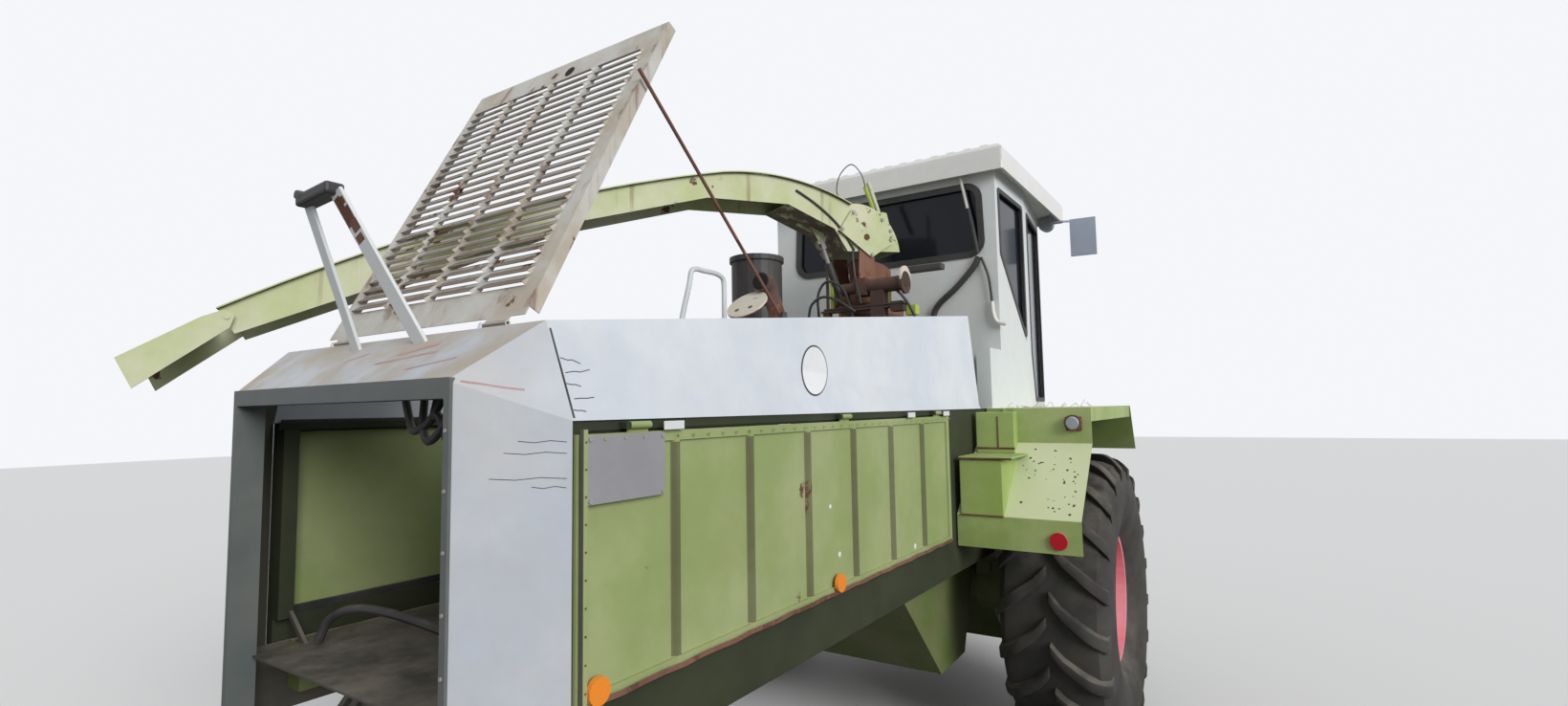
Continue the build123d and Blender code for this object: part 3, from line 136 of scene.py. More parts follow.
SKY_COLOUR, SKY_ON_MACHINE, SKY_SEEN = (0.96, 0.97, 1.0), 0.55, 0.95
world = bpy.data.worlds.new("sky")
bpy.context.scene.world = world
world.use_nodes = True
sky = world.node_tree
background = sky.nodes["Background"]
background.inputs["Color"].default_value = (*SKY_COLOUR, 1)
path = sky.nodes.new("ShaderNodeLightPath")
seen = math_node(sky, "MAXIMUM", path.outputs["Is Camera Ray"], path.outputs["Is Glossy Ray"])
seen = math_node(sky, "MAXIMUM", seen, path.outputs["Is Transmission Ray"])
strength = sky.nodes.new("ShaderNodeMapRange")
strength.inputs["To Min"].default_value = SKY_ON_MACHINE
strength.inputs["To Max"].default_value = SKY_SEEN
sky.links.new(seen, strength.inputs["Value"])
sky.links.new(strength.outputs["Result"], background.inputs["Strength"])

LAMP_ENERGY, LAMP_SPREAD, LAMP_AIM = 2.3, math.radians(30), Vector((0.86, -0.34, -0.38))
lamp = link(bpy.data.objects.new("broad_lamp", bpy.data.lights.new("broad_lamp", "SUN")))
lamp.data.energy = LAMP_ENERGY
lamp.data.angle = LAMP_SPREAD
lamp.rotation_euler = LAMP_AIM.to_track_quat("-Z", "Y").to_euler()

FLOOR_HALF, FLOOR_SEEN, FLOOR_IN_LIGHT = 40, (0.80, 0.80, 0.79), (0.20, 0.20, 0.20)
floor_mesh = bpy.data.meshes.new("floor")
bm = bmesh.new()
bmesh.ops.create_grid(bm, x_segments=1, y_segments=1, size=FLOOR_HALF)
bm.to_mesh(floor_mesh)
bm.free()
floor = link(bpy.data.objects.new("floor", floor_mesh))
floor_paper = plain("floor_paper", FLOOR_SEEN, 0.9)
tree, shader = shader_of(floor_paper)
camera_ray = tree.nodes.new("ShaderNodeLightPath").outputs["Is Camera Ray"]
tree.links.new(mix_colour(tree, camera_ray, FLOOR_IN_LIGHT, FLOOR_SEEN), shader.inputs["Base Color"])
floor.data.materials.append(floor_paper)

# Hood. The long engine hood is folded from sheet steel, welded at its corners and bolted down
# on the frame. It was sprayed decades ago: the white has faded in patches, rust has come
# through in spots and runs, and dust lies on what faces up. Each effect is a node group.


def make_group(name, inputs, outputs):
    """Node group with named float inputs and outputs."""
    group = bpy.data.node_groups.new(name, "ShaderNodeTree")
    for label, value in inputs:
        socket = group.interface.new_socket(label, in_out="INPUT", socket_type="NodeSocketFloat")
        socket.default_value = value
    for label in outputs:
        group.interface.new_socket(label, in_out="OUTPUT", socket_type="NodeSocketFloat")
    return group, group.nodes.new("NodeGroupInput"), group.nodes.new("NodeGroupOutput")


def noise(tree, scale, detail, stretch=(1, 1, 1)):
    """Noise on the object's own coordinates, stretched along its axes."""
    where = tree.nodes.new("ShaderNodeTexCoord")
    mapping = tree.nodes.new("ShaderNodeMapping")
    mapping.inputs["Scale"].default_value = stretch
    texture = tree.nodes.new("ShaderNodeTexNoise")
    texture.inputs["Detail"].default_value = detail
    texture.inputs["Roughness"].default_value = 0.62
    tree.links.new(where.outputs["Object"], mapping.inputs["Vector"])
    tree.links.new(mapping.outputs["Vector"], texture.inputs["Vector"])
    feed(tree, texture.inputs["Scale"], scale)
    return texture.outputs["Fac"]


def ramp(tree, value, low, high):
    """Smooth 0 to 1 between two values."""
    node = tree.nodes.new("ShaderNodeMapRange")
    node.interpolation_type = "SMOOTHSTEP"
    for label, source in (("Value", value), ("From Min", low), ("From Max", high)):
        feed(tree, node.inputs[label], source)
    return node.outputs["Result"]


fading, inlet, outlet = make_group("fading", [("Scale", 2.2)], ["Patches", "Cloud"])
patches = ramp(fading, noise(fading, inlet.outputs["Scale"], 6), 0.35, 0.68)
fading.links.new(patches, outlet.inputs["Patches"])
fading.links.new(noise(fading, 14.0, 5), outlet.inputs["Cloud"])

RUN_STRETCH = (1.0, 1.0, 0.07)
rusting, inlet, outlet = make_group("rusting", [("Share", 0.2), ("Scale", 9.0)], ["Spots", "Runs"])
threshold = math_node(rusting, "SUBTRACT", 0.86, math_node(rusting, "MULTIPLY", inlet.outputs["Share"], 0.5))
edge = math_node(rusting, "ADD", threshold, 0.035)
fine = math_node(rusting, "MULTIPLY", noise(rusting, inlet.outputs["Scale"], 8), 0.7)
broad = math_node(rusting, "MULTIPLY", noise(rusting, 1.6, 3), 0.45)
rusting.links.new(ramp(rusting, math_node(rusting, "ADD", fine, broad), threshold, edge),
                  outlet.inputs["Spots"])
runs = ramp(rusting, noise(rusting, 12.0, 5, RUN_STRETCH), math_node(rusting, "SUBTRACT", threshold, 0.08),
            edge)
rusting.links.new(runs, outlet.inputs["Runs"])


def outward(tree):
    """Separated parts of the way that a surface faces."""
    facing = tree.nodes.new("ShaderNodeNewGeometry")
    split = tree.nodes.new("ShaderNodeSeparateXYZ")
    tree.links.new(facing.outputs["Normal"], split.inputs["Vector"])
    return facing.outputs["Normal"], split.outputs


dusting, inlet, outlet = make_group("dusting", [("Amount", 0.5)], ["Dust"])
upward = math_node(dusting, "MULTIPLY", ramp(dusting, outward(dusting)[1]["Z"], 0.1, 0.95), 0.8)
uneven = ramp(dusting, noise(dusting, 5.0, 6), 0.3, 0.7)
lying = math_node(dusting, "MULTIPLY", math_node(dusting, "ADD", upward, 0.2), uneven)
dusting.links.new(math_node(dusting, "MULTIPLY", lying, inlet.outputs["Amount"]), outlet.inputs["Dust"])


def place_group(tree, group, **values):
    """A node group in a material, with its inputs set by name."""
    node = tree.nodes.new("ShaderNodeGroup")
    node.node_tree = group
    for label, value in values.items():
        node.inputs[label].default_value = value
    return node


RUST = (0.16, 0.065, 0.035)
DARK_RUST = (0.075, 0.035, 0.025)
DUST = (0.43, 0.38, 0.31)


def paint(name, colour, faded, rust=0.2, runs=0.4, dust=0.5, rough=0.55, patch=2.2, rust_scale=9.0,
          under=0.0):
    """Weathered paint on steel sheet; under is the share of rust on faces that look down."""
    material = plain(name, colour, rough)
    tree, shader = shader_of(material)
    fade = place_group(tree, fading, Scale=patch)
    spots = place_group(tree, rusting, Share=rust, Scale=rust_scale)
    film = place_group(tree, dusting, Amount=dust)
    ground = mix_colour(tree, fade.outputs["Patches"], colour, faded)
    ground = mix_colour(tree, math_node(tree, "MULTIPLY", fade.outputs["Cloud"], 0.25), ground,
                        tuple(c * 0.55 for c in colour))
    ground = mix_colour(tree, film.outputs["Dust"], ground, DUST)
    ground = mix_colour(tree, math_node(tree, "MULTIPLY", spots.outputs["Runs"], runs), ground, RUST)
    brown = mix_colour(tree, fade.outputs["Cloud"], RUST, DARK_RUST)
    ground = mix_colour(tree, spots.outputs["Spots"], ground, brown)
    if under:
        below = math_node(tree, "MULTIPLY", ramp(tree, outward(tree)[1]["Z"], -0.25, -0.55), under)
        below = math_node(tree, "MULTIPLY", below, ramp(tree, fade.outputs["Cloud"], 0.30, 0.5))
        ground = mix_colour(tree, below, ground, DARK_RUST)
    tree.links.new(ground, shader.inputs["Base Color"])
    rougher = math_node(tree, "ADD", math_node(tree, "MULTIPLY", film.outputs["Dust"], 0.3),
                        math_node(tree, "MULTIPLY", spots.outputs["Spots"], 0.35))
    tree.links.new(math_node(tree, "ADD", rougher, rough), shader.inputs["Roughness"])
    bump = tree.nodes.new("ShaderNodeBump")
    bump.inputs["Strength"].default_value = 0.25
    bump.inputs["Distance"].default_value = 0.003
    height = math_node(tree, "ADD", math_node(tree, "MULTIPLY", spots.outputs["Spots"], 0.6),
                       math_node(tree, "MULTIPLY", fade.outputs["Cloud"], 0.5))
    tree.links.new(height, bump.inputs["Height"])
    tree.links.new(bump.outputs["Normal"], shader.inputs["Normal"])
    return material


def finish(material, *names):
    """Give CAD nodes their material."""
    for name in names:
        nodes[name].data.materials.clear()
        nodes[name].data.materials.append(material)


def even_sides(material, lean):
    """Light a slightly twisted side sheet as one smooth face that leans by a share of its height."""
    tree = material.node_tree
    bump = next(node for node in tree.nodes if node.type == "BUMP")
    normal, parts = outward(tree)
    smooth = tree.nodes.new("ShaderNodeCombineXYZ")
    smooth.inputs["Z"].default_value = lean
    side = math_node(tree, "SIGN", parts["X"], 0.0)
    tree.links.new(side, smooth.inputs["X"])
    choice = tree.nodes.new("ShaderNodeMix")
    choice.data_type = "VECTOR"
    is_side = math_node(tree, "GREATER_THAN", math_node(tree, "MULTIPLY", parts["X"], side), 0.85)
    tree.links.new(is_side, choice.inputs[0])
    tree.links.new(normal, choice.inputs[4])
    tree.links.new(smooth.outputs["Vector"], choice.inputs[5])
    tree.links.new(choice.outputs[1], bump.inputs["Normal"])


SIDE_LEAN = 0.16
hood_white = paint("hood_white", (0.62, 0.67, 0.73), (0.72, 0.75, 0.78), rust=0.08, runs=0.08, dust=0.25,
                   rough=0.42)
even_sides(hood_white, SIDE_LEAN)
finish(hood_white, "hood_shell")

# Rear cowl. A second white sheet narrows behind the hood to the opening, bolted to it at an
# open seam. It is dusty on top, and its faces that look forward, on its inner side seen through the opening,
# are painted near black: painted shade.


def facing_light_and_shade(material, direction, low, high, colour, strength=1.0):
    """Another colour on faces of a sheet, chosen by how far they look along a direction: painted light and
    shade by facing.
    """
    tree, shader = shader_of(material)
    along = tree.nodes.new("ShaderNodeVectorMath")
    along.operation = "DOT_PRODUCT"
    along.inputs[1].default_value = direction
    tree.links.new(tree.nodes.new("ShaderNodeTexCoord").outputs["Normal"], along.inputs[0])
    share = math_node(tree, "MULTIPLY", math_node(tree, "GREATER_THAN", along.outputs["Value"], low),
                      math_node(tree, "LESS_THAN", along.outputs["Value"], high))
    share = math_node(tree, "MULTIPLY", share, strength)
    before_painted_light = shader.inputs["Base Color"].links[0].from_socket
    tree.links.new(mix_colour(tree, share, before_painted_light, colour), shader.inputs["Base Color"])


TO_REAR = Vector((0, 1, 0))
LOOKS_ALONG, LOOKS_ALL = 0.2, 1.1
cowl_white = paint("cowl_white", (0.50, 0.54, 0.60), (0.58, 0.60, 0.62), rust=0.12, runs=0.15, dust=1.1,
                   rough=0.5, patch=3.2)
# Painted shade: faces that look forward, on the cowl's inner side, are coloured near black.
facing_light_and_shade(cowl_white, -TO_REAR, LOOKS_ALONG, LOOKS_ALL, (0.13, 0.125, 0.10))
finish(cowl_white, "rear_cowl")

# Louvred lid. The lid over the engine is one pressed steel sheet, hinged at its rear edge and
# propped open. Its paint is stained brown, and the louvres' bent faces are painted dark brown: partly rust,
# partly painted shade.

lid_low, lid_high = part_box("louvred_lid")
lid_slope = Vector((0, lid_high.z - lid_low.z, lid_high.y - lid_low.y)).normalized()
LOUVRE_LEAST, LOUVRE_MOST, LOUVRE_RUST_AND_SHADE = 0.25, 0.975, 0.85
louvred_white = paint("louvred_white", (0.60, 0.60, 0.56), (0.44, 0.38, 0.29), rust=0.42, runs=0.7, dust=0.3,
                      patch=4.5)
# Dark brown on faces that look up and down the lid's slope: rust and painted shade of the louvres.
facing_light_and_shade(louvred_white, lid_slope, LOUVRE_LEAST, LOUVRE_MOST, (0.13, 0.085, 0.055), LOUVRE_RUST_AND_SHADE)
facing_light_and_shade(louvred_white, lid_slope, -LOUVRE_MOST, -LOUVRE_LEAST, (0.10, 0.065, 0.045), LOUVRE_RUST_AND_SHADE)
finish(louvred_white, "louvred_lid")

# Cab. Its shell and door are welded from white sheet and stand bolted on a green pedestal; the
# roof is a moulded cap in a purer white. The panes are dark tinted glass.

cab_white = paint("cab_white", (0.69, 0.73, 0.74), (0.72, 0.74, 0.72), rust=0.10, runs=0.20, dust=0.30)
finish(cab_white, "cab_shell", "cab_door", "deck_handrail", "cab_duct", "spout_rest")
roof_white = paint("roof_white", (0.80, 0.80, 0.79), (0.78, 0.77, 0.74), rust=0.14, runs=0.25, dust=0.15)
finish(roof_white, "cab_roof")
window_glass = plain("window_glass", (0.008, 0.010, 0.016), 0.12, {"Alpha": 0.93, "Specular IOR Level": 0.25})
finish(window_glass, "cab_glass", "door_glass")

# Seat, lamps and mirrors. The seat is covered in black vinyl. The lamps have clear pressed
# lenses, and the mirrors' backs are grey-blue plastic on steel arms.

vinyl = paint("seat_vinyl", (0.03, 0.03, 0.03), (0.05, 0.05, 0.05), rust=0.0, runs=0.0, dust=0.4, rough=0.6)
finish(vinyl, "seat")
lens = paint("lamp_lens", (0.30, 0.33, 0.36), (0.36, 0.38, 0.40), rust=0.0, runs=0.0, dust=0.2, rough=0.2)
finish(lens, "lamps")
mirror_grey = paint("mirror_back", (0.30, 0.35, 0.45), (0.36, 0.41, 0.50), rust=0.0, runs=0.05, dust=0.15,
                    rough=0.35)
finish(mirror_grey, "mirrors")

# Spout. The curved channel and its hinged cap are welded from pale green sheet, bolted to the
# elbow. Under its flanges the paint has gone to rust.

pale_green = paint("pale_green", (0.46, 0.52, 0.24), (0.62, 0.62, 0.44), rust=0.36, runs=0.55, dust=0.30,
                   under=0.95)
finish(pale_green, "spout", "spout_cap")

# Fenders. Each is folded from green sheet steel and bolted beside the cab's pedestal. Dust lies
# on them, and the faces that look up are painted pale: painted light.

fender_green = paint("fender_green", (0.29, 0.39, 0.11), (0.42, 0.50, 0.20), rust=0.20, runs=0.5, dust=0.30,
                     patch=3.4)
# Painted light: faces that look up are coloured a pale green.
facing_light_and_shade(fender_green, UP, LOOKS_ALONG, LOOKS_ALL, (0.72, 0.76, 0.50), 0.72)
finish(fender_green, "fender_left", "fender_right")

# Side doors, deck, pedestal and ladder. They are pressed and welded from sheet in the same
# olive green; the doors hang on hinges at their top edges.

olive = paint("olive_green", (0.27, 0.34, 0.12), (0.36, 0.41, 0.19), rust=0.20, runs=0.4, dust=0.35)
finish(olive, "side_door_left", "side_door_right", "turret_deck", "cab_pedestal", "ladder")

# Body frame and engine bay. The frame behind the doors is welded steel, coloured near black as
# painted shade of its recess below the doors. The bay's floor and cross members are welded steel
# under old grease, chaff and dirt, so little green is left, and their dark colour is also painted shade
# inside the bay.

# Painted shade: the frame's colour is near black.
frame_painted_shade = paint("frame_painted_shade", (0.014, 0.022, 0.006), (0.030, 0.036, 0.012), rust=0.1, runs=0.2,
                    dust=0.08, rough=0.8)
finish(frame_painted_shade, "body_frame")
# Dirt, and painted shade of the bay's inside.
bay_dirt_and_shade = paint("bay_dirt_and_shade", (0.045, 0.042, 0.030), (0.075, 0.068, 0.050), rust=0.35, runs=0.3, dust=0.35,
                 rough=0.85)
finish(bay_dirt_and_shade, "bay_floor", "cross_members", "tow_hitch")

# Chassis, axles and crop path. Rails, axles, knuckles and the feeder, chopper and blower
# housings are heavy plate, welded and bolted, in a dark green that dust and rust cover.

under_green = paint("under_green", (0.11, 0.16, 0.035), (0.17, 0.18, 0.07), rust=0.3, runs=0.5, dust=0.6)
finish(under_green, "chassis_rails", "blower_housing", "chopper_housing", "feeder_housing", "rear_axle_beam",
       "rear_axle_hanger", "knuckle_left", "knuckle_right", "front_axle")
steel = paint("worn_steel", (0.30, 0.29, 0.28), (0.36, 0.35, 0.33), rust=0.2, runs=0.2, dust=0.2, rough=0.35)
finish(steel, "lift_cylinder_rod", "feed_roll_upper", "feed_roll_lower")

# Exhaust, prop rod and turret. These are bare or burnt steel, rusted all over: the stub and
# the ring light brown, the turned turret base and the worm motor dark with oil.

rusty = paint("rusty_steel", (0.14, 0.06, 0.04), (0.22, 0.10, 0.06), rust=0.5, runs=0.5, dust=0.3, rough=0.8)
finish(rusty, "exhaust_stub", "prop_rod", "turret_ring")
dark_rust = paint("dark_rust", (0.055, 0.028, 0.022), (0.10, 0.05, 0.035), rust=0.4, runs=0.4, dust=0.15,
                  rough=0.75)
finish(dark_rust, "slew_motor", "turret_base")

# Engine, air cleaner and black parts. The engine is a cast block under oil and dust, and the
# air cleaner a drawn can whose black paint peels.

dark_metal = paint("dark_metal", (0.026, 0.026, 0.028), (0.05, 0.047, 0.044), rust=0.12, runs=0.15, dust=0.25)
finish(dark_metal, "lift_cylinder_barrel", "steering_column", "engine_block", "prop_foot")
peeled_black = paint("peeled_black", (0.018, 0.017, 0.017), (0.030, 0.028, 0.028), rust=0.0, runs=0.3,
                     dust=0.25)
finish(peeled_black, "air_cleaner")

# Rims and steered tyres. The rims are pressed steel in a faded red that has gone pink, and the
# small tyres are ribbed rubber, grey with dust.

rim_red = paint("rim_red", (0.86, 0.20, 0.26), (0.86, 0.42, 0.47), rust=0.15, runs=0.3, dust=0.3)
finish(rim_red, "front_rim_left", "front_rim_right", "rear_rim_left", "rear_rim_right")
rubber = paint("tyre_rubber", (0.020, 0.020, 0.019), (0.040, 0.038, 0.034), rust=0.0, runs=0.0, dust=0.35,
               rough=0.85)
finish(rubber, "front_tyre_left", "front_tyre_right", "rear_tyre_left", "rear_tyre_right")

# Drive tyres. Each is a moulded rubber carcass with two rows of slanting lugs that meet in
# a chevron on the crown; a lug runs from its hooked inner tip, out over the shoulder.


def piece(name, bm, material, body):
    """Finished mesh that rides on a body."""
    bmesh.ops.remove_doubles(bm, verts=bm.verts, dist=1e-5)
    bmesh.ops.recalc_face_normals(bm, faces=bm.faces)
    mesh = bpy.data.meshes.new(name)
    bm.to_mesh(mesh)
    bm.free()
    obj = link(bpy.data.objects.new(name, mesh))
    mesh.materials.append(material)
    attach(obj, body)
    return obj


def smooth_by_angle(obj, degrees=35):
    """Smooth shading except across sharp edges."""
    mesh = obj.data
    mesh.shade_smooth()
    bm = bmesh.new()
    bm.from_mesh(mesh)
    for e in bm.edges:
        e.smooth = len(e.link_faces) != 2 or e.calc_face_angle(0) < math.radians(degrees)
    bm.to_mesh(mesh)
    bm.free()


LUG_PAIRS, CARCASS_STEPS = 20, 80
LUG_START, LUG_REACH = 0.03, 0.94
LUG_LEAD, LUG_SLANT = -0.122, 0.195
HOOK, HOOK_AT, HOOK_LONG = 0.028, 0.02, 0.10
LUG_WIDE, LUG_FLARE = 0.052, 0.018
SHOULDER, SHOULDER_DROP = 0.52, 0.075
LUG_SUNK, LUG_DEEP, FOOT_SPREAD = 0.002, 0.062, 0.22
WORN_EDGE, SHARP = 0.006, 0.6
CARCASS_HALF = ((-0.66, 0.437), (-0.84, 0.50), (-0.95, 0.58), (-1.0, 0.68), (-0.985, 0.78), (-0.93, 0.87),
                (-0.80, 0.925), (-0.60, 0.945), (-0.3, 0.951))
CARCASS = (*CARCASS_HALF, (0.0, 0.953), *((-x, r) for x, r in reversed(CARCASS_HALF)))


def spun_ring(bm, profile, steps):
    """Closed ring of an (x, radius) profile about the x axis."""
    verts = [bm.verts.new((x, 0, r)) for x, r in profile]
    edges = [bm.edges.new(pair) for pair in zip(verts, verts[1:])]
    bmesh.ops.spin(bm, geom=verts + edges, cent=(0, 0, 0), axis=(1, 0, 0), angle=2 * math.pi,
                   steps=steps, use_merge=True)


def drive_lug(bm, half, radius, side):
    """One lug: a grid bent round the tyre and drawn out into a bar with a worn edge."""
    top = bmesh.ops.create_grid(bm, x_segments=9, y_segments=2, size=0.5)["verts"]
    faces = list({f for v in top for f in v.link_faces})
    for v in top:
        along, across = v.co.x + 0.5, v.co.y
        y = LUG_LEAD + LUG_SLANT * along - HOOK * math.exp(-((along - HOOK_AT) / HOOK_LONG) ** 2)
        y += across * (LUG_WIDE + LUG_FLARE * along)
        drop = SHOULDER_DROP * (max(0.0, along - SHOULDER) / (1 - SHOULDER)) ** 2
        v.co = Vector((side * (LUG_START + LUG_REACH * along) * half, y, radius - LUG_SUNK - drop))
    walls = bmesh.ops.extrude_face_region(bm, geom=faces)
    lower = [v for v in walls["geom"] if isinstance(v, bmesh.types.BMVert)]
    bmesh.ops.translate(bm, verts=lower, vec=(0, 0, -LUG_DEEP))
    for v in lower:
        middle = LUG_LEAD + LUG_SLANT * min(1, max(0, abs(v.co.x) / half - LUG_START)) / LUG_REACH
        v.co.y += FOOT_SPREAD * (v.co.y - middle)
    for v in set(top) | set(lower):
        angle = v.co.y / radius
        v.co.y, v.co.z = v.co.z * math.sin(angle), v.co.z * math.cos(angle)
    edges = [e for e in {e for v in top for e in v.link_edges}
             if len(e.link_faces) == 2 and e.calc_face_angle(0) > SHARP]
    bmesh.ops.bevel(bm, geom=edges, offset=WORN_EDGE, segments=2, affect="EDGES", profile=0.5, material=-1)


for side in ("left", "right"):
    node = "front_tyre_" + side
    low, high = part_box(node)
    radius, half = (high.z - low.z) / 2, (high.x - low.x) / 2
    bm = bmesh.new()
    spun_ring(bm, [(x * half, r * radius) for x, r in CARCASS], CARCASS_STEPS)
    for row in (1, -1):
        shift = 0 if row == (1 if side == "left" else -1) else 0.5
        for k in range(LUG_PAIRS):
            lug = bmesh.new()
            drive_lug(lug, half, radius, row)
            bmesh.ops.recalc_face_normals(lug, faces=lug.faces)
            bmesh.ops.rotate(lug, verts=lug.verts, cent=(0, 0, 0),
                             matrix=Matrix.Rotation(2 * math.pi * (k + shift) / LUG_PAIRS, 3, "X"))
            mesh = bpy.data.meshes.new("lug")
            lug.to_mesh(mesh)
            lug.free()
            bm.from_mesh(mesh)
            bpy.data.meshes.remove(mesh)
    bmesh.ops.translate(bm, verts=bm.verts, vec=(low + high) / 2)
    tyre = piece("drive_tyre_" + side, bm, rubber, "front_wheel_" + side)
    smooth_by_angle(tyre, 30)
    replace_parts(tyre, node)

# Blank plate. A thin grey steel plate with nothing on it is screwed to the right door near its
# rear end, with a small screw at each corner.


def slab(bm, centre, size, bevel, turn=None):
    """Box with eased edges, turned about its own centre."""
    verts = bmesh.ops.create_cube(bm, size=1.0)["verts"]
    bmesh.ops.scale(bm, verts=verts, vec=size)
    edges = list({e for v in verts for e in v.link_edges})
    eased = bmesh.ops.bevel(bm, geom=edges, offset=bevel, segments=2, affect="EDGES", profile=0.5,
                            material=-1)
    whole = list({v for f in eased["faces"] for v in f.verts} | {v for v in verts if v.is_valid})
    bmesh.ops.transform(bm, matrix=Matrix.Translation(centre) @ (turn or Matrix()), verts=whole)


PLATE_CENTRE, PLATE_SIZE = (2.170, 1.735), (0.003, 0.250, 0.155)
SCREW_ASIDE, SCREW_UP, SCREW_RADIUS = 0.117, 0.069, 0.006
door_low, door_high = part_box("side_door_right")
skin = door_low.x
plate_grey = paint("plate_grey", (0.27, 0.27, 0.29), (0.33, 0.33, 0.34), rust=0.03, runs=0.05, dust=0.3,
                   rough=0.45)
bm = bmesh.new()
slab(bm, (skin + 0.002, *PLATE_CENTRE), PLATE_SIZE, 0.001)
piece("blank_plate", bm, plate_grey, "side_door_right")


def drum(bm, place, radius, depth, segments=40, top=1.0):
    """Flat-ended round head set in its place by a matrix, its far end narrowed to a share."""
    bmesh.ops.create_cone(bm, segments=segments, radius1=radius, radius2=radius * top, depth=depth,
                          cap_ends=True, matrix=place)


def disc_on_side(bm, centre, radius, depth, segments=40):
    """Round button lying in the x plane."""
    turn = Matrix.Rotation(-math.pi / 2, 4, "Y")
    drum(bm, Matrix.Translation(centre) @ turn, radius, depth, segments, 0.96)


bm = bmesh.new()
for y in (PLATE_CENTRE[0] - SCREW_ASIDE, PLATE_CENTRE[0] + SCREW_ASIDE):
    for z in (PLATE_CENTRE[1] - SCREW_UP, PLATE_CENTRE[1] + SCREW_UP):
        disc_on_side(bm, (skin - 0.0005, y, z), SCREW_RADIUS, 0.004, 12)
piece("plate_screws", bm, steel, "side_door_right")

# Side reflectors. Two round amber reflectors of moulded plastic, ribbed behind their clear
# face with small prisms, are screwed to the right door.

REFLECTORS, REFLECTOR_RADIUS = ((2.263, 1.251), (1.159, 1.255)), 0.032
PRISM_SCALE, PRISM_DEEP = 260, 0.0008
amber = plain("amber_reflector", (0.86, 0.26, 0.02), 0.28, {"Coat Weight": 0.4})
tree, shader = shader_of(amber)
cells = tree.nodes.new("ShaderNodeTexVoronoi")
cells.inputs["Scale"].default_value = PRISM_SCALE
tree.links.new(tree.nodes.new("ShaderNodeTexCoord").outputs["Object"], cells.inputs["Vector"])
bump = tree.nodes.new("ShaderNodeBump")
bump.inputs["Distance"].default_value = PRISM_DEEP
tree.links.new(cells.outputs["Distance"], bump.inputs["Height"])
tree.links.new(bump.outputs["Normal"], shader.inputs["Normal"])
bm = bmesh.new()
for y, z in REFLECTORS:
    disc_on_side(bm, (skin - 0.001, y, z), REFLECTOR_RADIUS, 0.012)
piece("side_reflectors", bm, amber, "side_door_right")

# White disc. A blank round white sticker with a thin dark rim is stuck on the hood's right
# side, and follows the fold of the metal under it.


def touch(node, start, direction):
    """Where a line first meets a CAD node, and the surface's outward normal there."""
    shell = nodes[node]
    tree = BVHTree.FromObject(shell, bpy.context.evaluated_depsgraph_get())
    back = shell.matrix_world.inverted()
    along = (back.to_3x3() @ Vector(direction)).normalized()
    spot, normal = tree.ray_cast(back @ Vector(start), along)[:2]
    normal = (shell.matrix_world.to_3x3() @ normal).normalized()
    return shell.matrix_world @ spot, normal if normal.dot(Vector(direction)) < 0 else -normal


TO_LEFT = Vector((1, 0, 0))
DISC_MIDDLE, DISC_RADIUS, DISC_RIM, DISC_RINGS, DISC_SIDES = (2.180, 2.000), 0.086, 0.006, 6, 48


def sticker(bm, radius, lift):
    """Round sheet spun flat and laid on the hood's right side, so it follows the metal under it."""
    centre = touch("hood_shell", at(-3.0, *DISC_MIDDLE), TO_LEFT)[0]
    spoke = [bm.verts.new(centre + radius * ring / DISC_RINGS * TO_REAR) for ring in range(DISC_RINGS + 1)]
    edges = [bm.edges.new(pair) for pair in zip(spoke, spoke[1:])]
    bmesh.ops.spin(bm, geom=spoke + edges, cent=centre, axis=TO_LEFT, angle=2 * math.pi, steps=DISC_SIDES,
                   use_merge=True)
    for v in bm.verts:
        v.co = touch("hood_shell", EYE, v.co - EYE)[0] - lift * TO_LEFT


sticker_white = paint("sticker_white", (0.78, 0.79, 0.80), (0.80, 0.80, 0.78), rust=0.0, runs=0.05, dust=0.2,
                      rough=0.4)
black_rubber = paint("black_rubber", (0.018, 0.018, 0.019), (0.035, 0.034, 0.033), rust=0.0, runs=0.0,
                     dust=0.25)
finish(black_rubber, "hoses")
bm = bmesh.new()
sticker(bm, DISC_RADIUS + DISC_RIM, 0.0012)
piece("speed_disc_rim", bm, black_rubber, "chassis")
bm = bmesh.new()
sticker(bm, DISC_RADIUS, 0.0022)
piece("speed_disc", bm, sticker_white, "chassis")

# Hood seam and cracks. Behind the disc the hood's sheet meets the cowl's at an open seam, and
# the paint beside it has split in short bent cracks down to the steel.


def ribbon(bm, spots, across, width, lift=0.0006):
    """Flat strip drawn out across a line of (spot, normal) places on a surface."""
    line = [bm.verts.new(spot + normal * lift - across * width / 2) for spot, normal in spots]
    edges = [bm.edges.new(pair) for pair in zip(line, line[1:])]
    made = bmesh.ops.extrude_edge_only(bm, edges=edges)["geom"]
    bmesh.ops.translate(bm, verts=[v for v in made if isinstance(v, bmesh.types.BMVert)], vec=across * width)


SEAM_HEIGHTS = (1.852, 1.92, 2.0, 2.06)
SEAM_Y, SEAM_WIDTH, CRACK_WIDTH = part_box("rear_cowl")[0].y, 0.006, 0.0022
